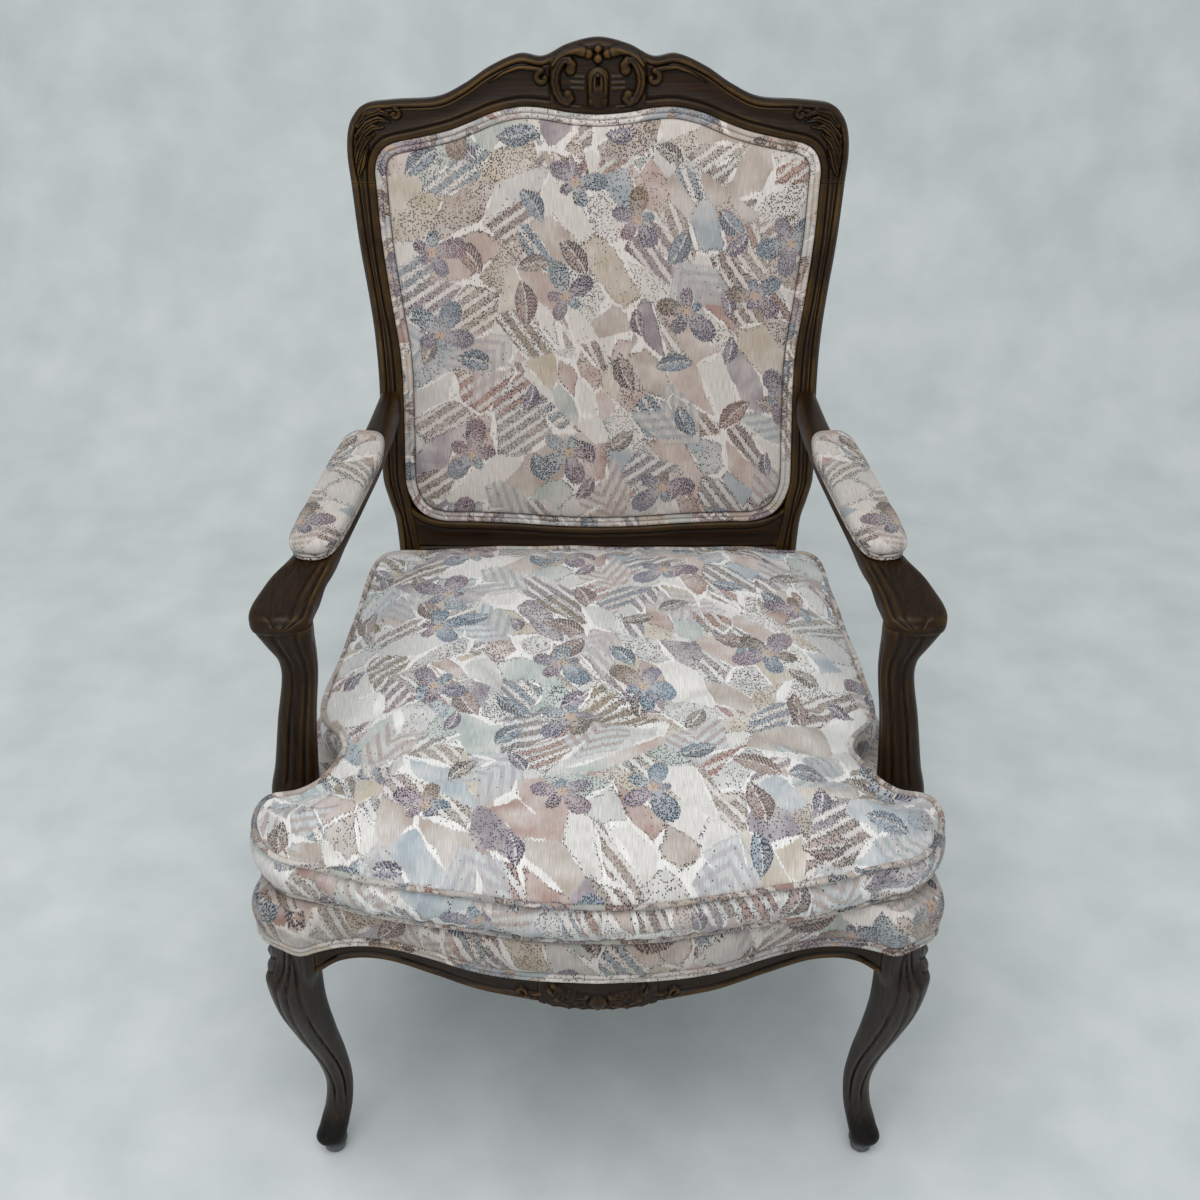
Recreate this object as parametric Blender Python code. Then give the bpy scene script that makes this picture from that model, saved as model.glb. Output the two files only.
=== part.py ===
"""Open armchair in the French style: carved show-wood frame, upholstered flat back,
padded arms and a loose cushion with ears in front of the arm supports.

Metres, +Z up, the front looks along -Y. Left and right are as seen from the front.
"""
import math

import bmesh
import bpy
from mathutils import Matrix, Vector

for old in list(bpy.data.objects):
    bpy.data.objects.remove(old, do_unlink=True)

# Fits
FIT = 0.0003              # air left between pieces that touch
HOLE_FIT = 0.0004         # air round a tenon or a screw in its hole

# Seat frame
SEAT_TOP = 0.377          # top of the seat rails above the floor
RAIL_HEIGHT = 0.060
RAIL_THICK = 0.026
FRONT_REACH = 0.358       # front rail's face at the middle, in front of the origin
SEAT_HALF = 0.3215        # outer face of the side rail at the front leg
BACK_FOOT_Y = 0.230       # front face of the back posts at the seat rails' top
POST_HALF = 0.241         # outer face of the back posts at the seat

# Back
RAKE = math.atan(0.209)   # lean of the back
BACK_DEPTH = 0.032        # front to rear of the back frame
REBATE_WIDTH = 0.009
REBATE_DROP = 0.009
BEAD = 0.010              # bead that runs round the upholstery
BEAD_RISE = 0.0025
EDGE_ROUND = 0.006
JOINT_RISE = 0.500        # where the posts meet the crest rail, up the back's slope
LOWER_RAIL_FOOT = 0.060   # bottom of the lower back rail, up the slope

# Legs and feet
GLIDE_HEIGHT = 0.0142
GLIDE_RADIUS = 0.0115
LEG_INNER_X = SEAT_HALF - 0.049      # face that takes the front rail
LEG_REAR_Y = 0.090 - FRONT_REACH     # face that takes the side rail
KNEE_TOP = SEAT_TOP - RAIL_HEIGHT    # where the legs' blocks and the rails begin
SIDE_RUN = BACK_FOOT_Y - LEG_REAR_Y  # length of the side rails

# Arms
ARM_TOP = 0.634
ARM_UNDER = ARM_TOP - 0.023
ARM_PAD_HEIGHT = 0.025
ARM_PAD_HALF = 0.0245
ARM_HOUSING = 0.0006      # depth of the flat cut for the arm in the post's face
ARM_JOINT_Y = BACK_FOOT_Y + 0.049    # about where the arm's end meets the leaning post
SUPPORT_Y = LEG_REAR_Y + 0.122       # middle of the arm support's foot
PAD_REAR_Y = BACK_FOOT_Y - 0.080
PAD_FRONT_Y = SUPPORT_Y + 0.059
ARM_RUN = ARM_JOINT_Y - SUPPORT_Y    # from the support to the post
HAND_FRONT_Y = SUPPORT_Y - 0.019     # front of the arm's hand
HAND_FLAT_Y = SUPPORT_Y - 0.0145     # the hand's flat under side, from here
HAND_REAR_Y = SUPPORT_Y + 0.024      # to here
HAND_UNDER = ARM_TOP - 0.037

# Upholstery
SKIRT = 0.0046            # padding and cloth over the rails' faces
DECK_RISE = 0.018         # deck's top above the rails
POST_ROOM = 0.0009        # slack of the deck's cloth round the back posts
WELT_WIDTH = 0.012
WELT_THICK = 0.005
DECK_WELT_WIDTH = 0.0095
SKIRT_DROP = 0.0235       # skirt's lower edge below the rails' top
WEB_WIDTH = 0.050
WEB_THICK = 0.001
WEB_STITCH = 0.0001       # depth by which crossing strips share their threads
WEB_MARGIN = 0.006        # bare wood outside a strip's tacked end
# Middles of the strips, as shares of the half width and of the run or rise that they cross
SEAT_COLUMNS = [share * LEG_INNER_X for share in (-0.55, -0.275, 0.0, 0.275, 0.55)]
SEAT_ROWS = [LEG_REAR_Y + share * SIDE_RUN for share in (0.104, 0.357, 0.496, 0.635, 0.773, 0.906)]
BACK_COLUMNS = [share * POST_HALF for share in (-0.62, -0.31, 0.0, 0.31, 0.62)]
BACK_ROWS = [share * JOINT_RISE for share in (0.33, 0.49, 0.65, 0.81, 0.95)]
PANEL_THICK = 0.0022
BACK_CROWN = 0.020        # how far the back pad stands in front of the frame
CUSHION_SIDE = 0.050      # height of the cushion's boxing band
CUSHION_CROWN = 0.028

# Joinery
TENON_THICK = 0.010
TENON_LENGTH = 0.0145
TENON_ROOT = 0.006        # how far a tenon's solid starts inside its own rail
BLOCK_HEIGHT = 0.045
BLOCK_LEG = 0.073         # how far a corner block runs along each rail
BLOCK_SLACK = 0.0006      # glue between a corner block and a curved rail
SCREW_RADIUS = 0.0021
SCREW_LENGTH = 0.036
SCREW_HEAD = 0.0042
SCREW_HEAD_HEIGHT = 0.003

WOOD = ("walnut_stain", (0.045, 0.024, 0.012), 0.32, 0.0)
RAW_WOOD = ("beech", (0.45, 0.30, 0.17), 0.7, 0.0)
CLOTH = ("printed_cotton", (0.62, 0.58, 0.55), 0.85, 0.0)
WEBBING = ("jute_webbing", (0.42, 0.30, 0.17), 0.9, 0.0)
LINING = ("black_lining", (0.03, 0.03, 0.03), 0.9, 0.0)
GLIDE = ("grey_glide", (0.10, 0.10, 0.10), 0.5, 0.0)
STEEL = ("zinc_steel", (0.55, 0.55, 0.55), 0.4, 1.0)


# Tools for shapes


def material(kind):
    """The Principled material of one kind, made once."""
    name, colour, roughness, metallic = kind
    found = bpy.data.materials.get(name)
    if found:
        return found
    made = bpy.data.materials.new(name)
    made.use_nodes = True
    shader = made.node_tree.nodes["Principled BSDF"]
    shader.inputs["Base Color"].default_value = (*colour, 1.0)
    shader.inputs["Roughness"].default_value = roughness
    shader.inputs["Metallic"].default_value = metallic
    return made


def solid(name, ring_sets, kind):
    """One object of closed skins, each drawn over a row of rings with as many points."""
    shape = bmesh.new()
    for rings in ring_sets:
        rows = [[shape.verts.new(point) for point in ring] for ring in rings]
        count = len(rows[0])
        for low, high in zip(rows, rows[1:]):
            for k in range(count):
                n = (k + 1) % count
                shape.faces.new((low[k], low[n], high[n], high[k]))
        shape.faces.new(rows[0][::-1])
        shape.faces.new(rows[-1])
    return finish(name, shape, kind)


def hoop(name, rings, kind):
    """One object of rings joined into an endless loop."""
    shape = bmesh.new()
    rows = [[shape.verts.new(point) for point in ring] for ring in rings]
    count = len(rows[0])
    for i, low in enumerate(rows):
        high = rows[(i + 1) % len(rows)]
        for k in range(count):
            n = (k + 1) % count
            shape.faces.new((low[k], low[n], high[n], high[k]))
    return finish(name, shape, kind)


def finish(name, shape, kind):
    """Turn the faces out, split the bent ones, shade them and give the object its material."""
    bmesh.ops.recalc_face_normals(shape, faces=shape.faces)
    bmesh.ops.triangulate(shape, faces=shape.faces)
    mesh = bpy.data.meshes.new(name)
    shape.to_mesh(mesh)
    shape.free()
    mesh.materials.append(material(kind))
    mesh.shade_smooth()
    mesh.set_sharp_from_angle(angle=math.radians(35))
    made = bpy.data.objects.new(name, mesh)
    bpy.context.scene.collection.objects.link(made)
    return made


def mirrored(source, name):
    """A copy of the object on the other side of the chair."""
    shape = bmesh.new()
    shape.from_mesh(source.data)
    bmesh.ops.scale(shape, vec=(-1, 1, 1), verts=shape.verts)
    bmesh.ops.reverse_faces(shape, faces=shape.faces)
    mesh = source.data.copy()
    shape.to_mesh(mesh)
    shape.free()
    made = bpy.data.objects.new(name, mesh)
    bpy.context.scene.collection.objects.link(made)
    return made


def combine(target, tool, operation):
    """Cut the tool out of the target, or weld it on, and drop the tool."""
    step = target.modifiers.new(operation.lower(), "BOOLEAN")
    step.operation = operation
    step.solver = "EXACT"
    step.object = tool
    bpy.context.view_layer.update()
    result = bpy.data.meshes.new_from_object(
        target.evaluated_get(bpy.context.evaluated_depsgraph_get()))
    target.modifiers.clear()
    target.data = result
    bpy.data.objects.remove(tool, do_unlink=True)


def curve_at(keys, t):
    """Values at t of the smooth curve through keys, each (t, value, value, ...)."""
    last = len(keys) - 1
    if t <= keys[0][0]:
        return keys[0][1:]
    if t >= keys[last][0]:
        return keys[last][1:]
    i = max(k for k in range(last) if keys[k][0] <= t)
    span = keys[i + 1][0] - keys[i][0]
    u = (t - keys[i][0]) / span
    values = []
    for c in range(1, len(keys[0])):
        slopes = []
        for k in (i, i + 1):
            a, b = max(k - 1, 0), min(k + 1, last)
            slopes.append((keys[b][c] - keys[a][c]) / (keys[b][0] - keys[a][0]) * span)
        low, high = keys[i][c], keys[i + 1][c]
        values.append(low * (2 * u**3 - 3 * u**2 + 1) + high * (3 * u**2 - 2 * u**3)
                      + slopes[0] * (u**3 - 2 * u**2 + u) + slopes[1] * (u**3 - u**2))
    return tuple(values)


def spread(start, end, count):
    """Evenly spaced values from start to end."""
    return [start + (end - start) * i / (count - 1) for i in range(count)]


def inset(outline, distance):
    """A closed plane outline moved inwards (to the left of its run) by a distance."""
    moved = []
    count = len(outline)
    for i, (x, y) in enumerate(outline):
        before, after = outline[i - 1], outline[(i + 1) % count]
        e1 = Vector((x - before[0], y - before[1])).normalized()
        e2 = Vector((after[0] - x, after[1] - y)).normalized()
        n1, n2 = Vector((-e1.y, e1.x)), Vector((-e2.y, e2.x))
        mid = (n1 + n2).normalized()
        reach = distance / max(mid.dot(n1), 0.5)
        moved.append((x + mid.x * reach, y + mid.y * reach))
    return moved


def shrunk(outline, centre, share):
    """A plane outline drawn in towards a centre."""
    return [(centre[0] + (x - centre[0]) * share, centre[1] + (y - centre[1]) * share)
            for x, y in outline]


def back_point(x, rise, forward=0.0):
    """A point of the leaning back: across, up its slope, and forward of its face."""
    return Vector((x,
                   BACK_FOOT_Y + rise * math.sin(RAKE) - forward * math.cos(RAKE),
                   SEAT_TOP + rise * math.cos(RAKE) + forward * math.sin(RAKE)))


# Sweep of the posts above the lower rail: (share of the joint's rise, outer edge and edge of
# the upholstery beyond the post's outer face at the seat)
POST_SWEEP = (
    (0.208, 0.0035, -0.0191), (0.254, 0.0100, -0.0155), (0.308, 0.0160, -0.0110),
    (0.430, 0.0155, -0.0120), (0.560, 0.0150, -0.0130), (0.658, 0.0170, -0.0100),
    (0.740, 0.0210, -0.0040), (0.868, 0.0290, 0.0030), (1.000, 0.0345, 0.0065))

# Lines of the back, as (rise up the slope, outer edge, edge of the upholstery)
POST_LINES = [
    (-0.060, POST_HALF, POST_HALF - 0.02835), (0.045, POST_HALF, POST_HALF - 0.02835),
    (LOWER_RAIL_FOOT, POST_HALF, POST_HALF - 0.0260)]
POST_LINES += [(share * JOINT_RISE, POST_HALF + out, POST_HALF + edge)
               for share, out, edge in POST_SWEEP]

# Crest rail from the joint to the middle: inner edge, then outer edge, each as
# (share of the joint's distance from the middle, above the joint)
CREST_SWEEP = (
    (1.0000, 0.000, 1.0000, 0.0000), (1.0020, 0.014, 1.0091, 0.0300),
    (0.9879, 0.028, 1.0018, 0.0550), (0.9576, 0.038, 0.9764, 0.0720),
    (0.9091, 0.044, 0.9256, 0.0840), (0.8081, 0.049, 0.8094, 0.0880),
    (0.6667, 0.057, 0.6461, 0.0910), (0.5657, 0.066, 0.5372, 0.1040),
    (0.4646, 0.076, 0.4283, 0.1230), (0.3475, 0.082, 0.3122, 0.1360),
    (0.2424, 0.081, 0.2178, 0.1335), (0.1212, 0.076, 0.1198, 0.1460),
    (0.0000, 0.074, 0.0000, 0.1530))
JOINT_OUT, JOINT_IN = POST_LINES[-1][1:]
CREST_LINES = [(a * JOINT_IN, JOINT_RISE + b, c * JOINT_OUT, JOINT_RISE + d)
               for a, b, c, d in CREST_SWEEP]

# Top edge of the lower back rail: (share of the post's half distance, above the rail's foot)
LOWER_RAIL_SWEEP = (
    (0.0, 0.0340), (0.2075, 0.0355), (0.4149, 0.0390), (0.6224, 0.0410), (0.7676, 0.0420),
    (0.8506, 0.0480), (0.9046, 0.0590), (0.9378, 0.0750))
LOWER_RAIL_TOP = [(share * POST_HALF, LOWER_RAIL_FOOT + rise) for share, rise in LOWER_RAIL_SWEEP]


def post_line(rise):
    """Outer edge and upholstery edge of the post at a rise."""
    return curve_at(POST_LINES, rise)


def opening_outline():
    """The upholstery's outline, run anticlockwise as the front sees it: (x, rise)."""
    side = list(LOWER_RAIL_TOP)
    side += [(post_line(share * JOINT_RISE)[1], share * JOINT_RISE)
             for share in (0.32, 0.45, 0.60, 0.74, 0.88)]
    side += [(x, rise) for x, rise, _, _ in CREST_LINES]
    return side + [(-x, rise) for x, rise in reversed(side[1:-1])]


OPENING = opening_outline()


def back_slab(name, layers, kind):
    """A solid on the back from layers of (plane outline, how far forward)."""
    return solid(name, [[[back_point(x, s, n) for x, s in outline]
                         for outline, n in layers]], kind)


def rebate_cutter(name):
    """The bite that the upholstery's edge lies in, out of the frame's inner edge."""
    return back_slab(name, ((OPENING, -REBATE_DROP), (OPENING, 0.05)), RAW_WOOD)


def moulding(width, depth=BACK_DEPTH, bead=BEAD_RISE):
    """Section of the back frame: (out from the upholstery's edge, forward of the face)."""
    r = EDGE_ROUND
    return ((-REBATE_WIDTH, -depth), (-REBATE_WIDTH, 0), (0.0005, 0),
            (BEAD * 0.35, bead), (BEAD * 0.75, bead), (BEAD, -bead / 5),
            (width - r, 0), (width, -r), (width, -depth + r), (width - r, -depth))


# Back frame


def crest_ring(x_in, s_in, x_out, s_out):
    """Ring of the crest rail between its inner and outer edges."""
    across = Vector((x_out - x_in, s_out - s_in))
    unit = across.normalized()
    return [back_point(x_in + unit.x * a, s_in + unit.y * a, n)
            for a, n in moulding(across.length)]


def crest_rail():
    """One carved board over the whole top, housed on the two posts."""
    first = CREST_LINES[0]
    half = [(first[0], first[1] + FIT, first[2], first[3] + FIT)] + list(CREST_LINES[1:])
    full = half + [(-a, b, -c, d) for a, b, c, d in reversed(half[:-1])]
    rail = solid("crest_rail", [[crest_ring(*key) for key in full]], WOOD)
    combine(rail, rebate_cutter("cutter"), "DIFFERENCE")
    return rail


# Front face of the rear leg below the seat: (height, how far behind the post's foot, depth)
LEG_SWEEP = (
    (GLIDE_HEIGHT, 0.084, 0.0275), (0.189 * KNEE_TOP, 0.056, 0.029), (0.347 * KNEE_TOP, 0.027, 0.031),
    (0.536 * KNEE_TOP, 0.0005, 0.0335), (0.757 * KNEE_TOP, -0.0145, 0.036), (KNEE_TOP, -0.0125, 0.036),
    (SEAT_TOP, 0.0, 0.034), (SEAT_TOP + 0.10, 0.0209, BACK_DEPTH))
LEG_SIDES = (
    (GLIDE_HEIGHT, 0.0025, 0.0085), (0.347 * KNEE_TOP, 0.000, 0.0045), (0.757 * KNEE_TOP, 0.0, 0.001),
    (KNEE_TOP, 0.0, 0.0), (SEAT_TOP, 0.0, 0.0))


def back_post():
    """Stile and rear leg in one sawn piece: straight above the seat, swept back below."""
    rings = []
    below = [share * KNEE_TOP for share in (0.126, 0.237, 0.347, 0.457, 0.584, 0.726, 0.868, 1.0)]
    for z in [GLIDE_HEIGHT + FIT] + below + [KNEE_TOP + 0.028]:
        back, depth = curve_at(LEG_SWEEP, z)
        ahead = (curve_at(LEG_SWEEP, z + 0.005)[0] - curve_at(LEG_SWEEP, z - 0.005)[0]) / 0.010
        if z < GLIDE_HEIGHT + 0.005:
            ahead = 0.0
        rearward = Vector((0, 1, -ahead)).normalized()
        out_shift, in_shift = curve_at(LEG_SIDES, z)
        x_out = POST_HALF + out_shift
        x_in = POST_LINES[0][2] + in_shift
        rings.append([Vector((x_in + a, BACK_FOOT_Y + back, z)) - rearward * n
                      for a, n in moulding(x_out - x_in, depth, 0.0)])
    rises = [0.0, 0.045, LOWER_RAIL_FOOT]
    rises += [share * JOINT_RISE for share in (0.208, 0.254, 0.308, 0.38, 0.47, 0.56, 0.658, 0.74, 0.868)]
    for rise in rises + [JOINT_RISE - FIT]:
        x_out, x_in = post_line(rise)
        bead = BEAD_RISE if rise > LOWER_RAIL_FOOT else 0.0
        rings.append([back_point(x_in + a, rise, n)
                      for a, n in moulding(x_out - x_in, BACK_DEPTH, bead)])
    post = solid("back_post_right", [rings], WOOD)
    combine(post, rebate_cutter("cutter"), "DIFFERENCE")
    return post


def lower_back_rail():
    """Rail under the back's upholstery, flared at its ends into the posts."""
    end = POST_HALF - 0.024
    skew_from = POST_HALF - 0.071
    rings = []
    for x in (-1, -0.95, -0.90, -0.83, -0.65, -0.37, 0, 0.37, 0.65, 0.83, 0.90, 0.95, 1):
        x *= end
        skew = max(abs(x) - skew_from, 0) / (end - skew_from)
        top = curve_at(LOWER_RAIL_TOP, abs(x))[0]
        ring = []
        for a, n in moulding(top - LOWER_RAIL_FOOT):
            rise = top - a
            limit = post_line(rise)[1] - REBATE_WIDTH - FIT
            ring.append(back_point(x * (1 + skew * (limit / end - 1)), rise, n))
        rings.append(ring)
    rail = solid("back_lower_rail", [rings], WOOD)
    combine(rail, rebate_cutter("cutter"), "DIFFERENCE")
    return rail


# Seat frame, in plan

# Front rail's face: (share of the way out to the front leg, behind the rail's middle)
FRONT_LINE = (
    (0.0, 0.0), (0.220, 0.0035), (0.407, 0.0130), (0.584, 0.0315), (0.719, 0.0435),
    (0.826, 0.0475), (0.917, 0.0455), (1.0, 0.0385))
# Side rail's face: (share of the way back to the post, share of the way in to the post's side)
SIDE_LINE = (
    (0.0, 0.0), (0.237, 0.0435), (0.458, 0.2236), (0.699, 0.4907),
    (0.880, 0.7826), (0.976, 0.9814), (1.060, 1.0))


# Where the rails and the cloth over them are shaped, from the middle and from the front leg
FRONT_STOPS = spread(0.0, LEG_INNER_X, 14)
SIDE_STOPS = spread(LEG_REAR_Y, BACK_FOOT_Y, 15)


def front_y(x):
    """Face of the front rail at x."""
    return curve_at(FRONT_LINE, abs(x) / LEG_INNER_X)[0] - FRONT_REACH


def between(share):
    """A distance from the middle, from the post's side (share 0) out to the front leg's (1)."""
    return POST_HALF + share * (SEAT_HALF - POST_HALF)


def side_x(y):
    """Outer face of the side rail at y."""
    return between(1 - curve_at(SIDE_LINE, (y - LEG_REAR_Y) / SIDE_RUN)[0])


def stretch(line, t, step=0.002):
    """How much longer a skewed step across the line is than one square to it."""
    slope = (line(t + step) - line(t - step)) / (2 * step)
    return math.sqrt(1 + slope * slope)


def front_inner_y(x):
    """Inner face of the front rail at x."""
    return front_y(x) + RAIL_THICK * stretch(front_y, x)


def side_inner_x(y):
    """Inner face of the side rail at y."""
    return side_x(y) - RAIL_THICK * stretch(side_x, y)


REAR_RAIL_FRONT = BACK_FOOT_Y + 0.002
REAR_RAIL_REAR = REAR_RAIL_FRONT + 0.024
POST_INNER = POST_LINES[0][2] - REBATE_WIDTH
LEG_FACE_Y = front_y(LEG_INNER_X)

# Outer corner of the front leg's block, from the front rail round to the side rail
LEG_CORNER = (
    (LEG_INNER_X, LEG_FACE_Y), (LEG_INNER_X + 0.0110, LEG_FACE_Y - 0.0045),
    (SEAT_HALF - 0.0205, LEG_FACE_Y + 0.0040), (SEAT_HALF - 0.0045, LEG_FACE_Y + 0.0140),
    (SEAT_HALF + 0.0035, LEG_FACE_Y + 0.0290), (SEAT_HALF, LEG_REAR_Y))


def rail_section(outer, inner, low, high, lift):
    """Ring of a seat rail as (plan point, height), with a moulded lower outer edge."""
    bead = 0.008
    mix = lambda t: outer.lerp(inner, t)
    return [(*mix(0.0), high), (*mix(0.0), low + bead + 0.004), (*mix(-0.10), low + bead),
            (*mix(-0.10), low + 0.003), (*mix(0.05), low + lift), (*mix(0.9), low + lift),
            (*mix(1.0), low + 0.003 + lift), (*mix(1.0), high)]


# Lower edge of the front rail: (share of the way out to the front leg, below the side rails)
APRON = (
    (0.0, 0.0150), (0.147, 0.0120), (0.239, 0.0040), (0.404, 0.0010), (0.587, -0.0010),
    (0.789, -0.0060), (0.917, -0.0040), (1.0, 0.0060))


def seat_front_rail():
    """Serpentine rail between the front legs, with its shaped lower edge."""
    end = LEG_INNER_X - FIT
    low = KNEE_TOP
    rings = []
    for x in [-stop for stop in FRONT_STOPS[:0:-1]] + FRONT_STOPS:
        x = min(max(x, -end), end)
        outer = Vector((x, front_y(x)))
        inner = Vector((x, front_inner_y(x)))
        edge = low - curve_at(APRON, abs(x) / LEG_INNER_X)[0]
        rings.append(rail_section(outer, inner, edge, SEAT_TOP, 0.0))
    return solid("seat_front_rail", [rings], WOOD)


def seat_side_rail():
    """Bowed rail from the front leg to the back post."""
    low = KNEE_TOP
    rings = []
    for y in [LEG_REAR_Y + FIT] + SIDE_STOPS[1:]:
        outer = Vector((side_x(y), y))
        inner = Vector((side_inner_x(y), y))
        ring = rail_section(outer, inner, low, SEAT_TOP, 0.0)
        rings.append(ring)
    rings[-1] = [(x, BACK_FOOT_Y + curve_at(LEG_SWEEP, z)[0] - FIT * 2.7, z)
                 for x, _, z in rings[-1]]
    return solid("seat_side_rail_right", [rings], WOOD)


def seat_rear_rail():
    """Straight rail between the back posts."""
    low = KNEE_TOP
    section = ((REAR_RAIL_FRONT, low), (REAR_RAIL_REAR, low),
               (REAR_RAIL_REAR, SEAT_TOP), (REAR_RAIL_FRONT, SEAT_TOP))
    end = POST_INNER - FIT
    return solid("seat_rear_rail", [[[(x, y, z) for y, z in section]
                                     for x in (-end, end)]], RAW_WOOD)


# Front leg: (share of the knee's height, in from the leg's side, in front of its rear face,
# radius out, radius in)
CABRIOLE_SWEEP = (
    (0.0448, 0.0340, 0.0130, 0.0150, 0.0140), (0.0757, 0.0330, 0.0145, 0.0185, 0.0150),
    (0.1199, 0.0365, 0.0095, 0.0165, 0.0150), (0.1893, 0.0420, 0.0015, 0.0148, 0.0142),
    (0.2997, 0.0445, -0.0020, 0.0145, 0.0140), (0.4416, 0.0410, 0.0035, 0.0175, 0.0150),
    (0.5994, 0.0335, 0.0135, 0.0235, 0.0175), (0.7571, 0.0265, 0.0225, 0.0290, 0.0210),
    (0.8991, 0.0230, 0.0275, 0.0305, 0.0250), (1.0000, 0.0230, 0.0275, 0.0290, 0.0270))
CABRIOLE = [(share * KNEE_TOP, SEAT_HALF - x, LEG_REAR_Y - y, out, back)
            for share, x, y, out, back in CABRIOLE_SWEEP]


def leg_block_ring(z):
    """Ring of the square block that takes the rails, over the knee."""
    inner = (LEG_INNER_X, LEG_REAR_Y)
    lower = (LEG_INNER_X, (LEG_CORNER[0][1] + LEG_REAR_Y) / 2)
    rear = ((SEAT_HALF + LEG_INNER_X) / 2, LEG_REAR_Y)
    return [(x, y, z) for x, y in (inner, lower) + LEG_CORNER + (rear,)]


def front_leg():
    """Cabriole leg with its knee, ankle and toe, cut with the block from one piece."""
    block = leg_block_ring(SEAT_TOP)
    centre = Vector((CABRIOLE[-1][1], CABRIOLE[-1][2]))
    angles = [math.atan2(y - centre.y, x - centre.x) for x, y, _ in block]
    knee = math.radians(-45)
    rings = []
    stops = (0.060, 0.082, 0.114, 0.158, 0.221, 0.300, 0.394, 0.505, 0.615, 0.726, 0.826, 0.908)
    for z in [GLIDE_HEIGHT + FIT] + [share * KNEE_TOP for share in stops]:
        x, y, out, back = curve_at(CABRIOLE, z)
        ring = []
        for angle in angles:
            share = (1 + math.cos(angle - knee)) / 2
            radius = back + (out - back) * share
            ring.append((x + radius * math.cos(angle), y + radius * math.sin(angle), z))
        rings.append(ring)
    rings += [leg_block_ring(KNEE_TOP - 0.004), leg_block_ring(SEAT_TOP)]
    return solid("front_leg_right", [rings], WOOD)


# Arms

# Middle of the arm in plan, over the support: (behind the support, share of the way out from
# the post to the leg's side, half width), and on to the post: (share of the run, the same)
HAND_PLAN = (
    (-0.019, 0.7640, 0.0200), (-0.012, 0.7702, 0.0270), (0.0, 0.7702, 0.0300),
    (0.018, 0.7391, 0.0295), (0.042, 0.6398, 0.0272), (0.066, 0.5217, 0.0235))
ARM_SWEEP = (
    (0.273, 0.4161, 0.0200), (0.485, 0.2671, 0.0190), (0.649, 0.1553, 0.0180),
    (0.814, 0.0745, 0.0150), (1.026, 0.0248, 0.0120))
ARM_LINE = [(SUPPORT_Y + back, between(out), half) for back, out, half in HAND_PLAN]
ARM_LINE += [(SUPPORT_Y + share * ARM_RUN, between(out), half) for share, out, half in ARM_SWEEP]


def arm_heights(y):
    """Under side and top of the arm's wood at y: the hand rounds down in front."""
    return curve_at(((HAND_FRONT_Y, HAND_UNDER + 0.006, ARM_TOP - 0.022),
                     (HAND_FLAT_Y, HAND_UNDER, ARM_TOP - 0.0175),
                     (SUPPORT_Y - 0.004, HAND_UNDER, ARM_TOP - 0.0140),
                     (HAND_REAR_Y, HAND_UNDER, ARM_TOP - 0.0085),
                     (SUPPORT_Y + 0.043, ARM_UNDER - 0.002, ARM_TOP - 0.004),
                     (PAD_FRONT_Y + 0.001, ARM_UNDER, ARM_TOP),
                     (PAD_FRONT_Y + 0.017, ARM_UNDER, ARM_TOP), (PAD_REAR_Y, ARM_UNDER, ARM_TOP),
                     (PAD_REAR_Y + 0.016, ARM_UNDER, ARM_TOP),
                     (PAD_REAR_Y + 0.050, ARM_UNDER - 0.004, ARM_TOP),
                     (PAD_REAR_Y + 0.140, ARM_UNDER - 0.014, ARM_TOP)), y)


def arm():
    """Open arm from the post to the hand over its support."""
    rings = []
    hand = [HAND_FRONT_Y, HAND_FLAT_Y, SUPPORT_Y - 0.004, HAND_REAR_Y, SUPPORT_Y + 0.043, PAD_FRONT_Y + 0.001]
    along = (0.249, 0.379, 0.508, 0.638, 0.732, 0.814, 0.896, 1.0)
    for y in hand + [SUPPORT_Y + share * ARM_RUN for share in along]:
        x, half = curve_at(ARM_LINE, y)
        low, high = arm_heights(y)
        soft = min((high - low) * 0.35, half * 0.5)
        ring = [(x - half + soft, high), (x + half - soft, high), (x + half, high - soft),
                (x + half, low + soft), (x + half - soft, low), (x - half + soft, low),
                (x - half, low + soft), (x - half, high - soft)]
        lean = 1.0 if y > ARM_JOINT_Y - FIT else 0.0
        rings.append([(px, y + lean * (post_face_y(z) + ARM_HOUSING - FIT - ARM_JOINT_Y), z) for px, z in ring])
    return solid("arm_right", [rings], WOOD)


def arm_housing(name):
    """The flat that the post's bead is cut back to, where the arm butts on it."""
    (x, half), (low, high) = curve_at(ARM_LINE, ARM_JOINT_Y), arm_heights(ARM_JOINT_Y)
    left, right = x - half - 0.001, x + half + 0.001
    rings = []
    for forward in (-ARM_HOUSING, BEAD_RISE * 2):
        low_rise, high_rise = ((z - SEAT_TOP) / math.cos(RAKE) for z in (low - 0.001, high + 0.001))
        rings.append([back_point(left, low_rise, forward), back_point(right, low_rise, forward),
                      back_point(right, high_rise, forward), back_point(left, high_rise, forward)])
    return solid(name, [rings], RAW_WOOD)


def post_face_y(z):
    """Front face of the leaning back at a height."""
    return BACK_FOOT_Y + (z - SEAT_TOP) * math.tan(RAKE)


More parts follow.
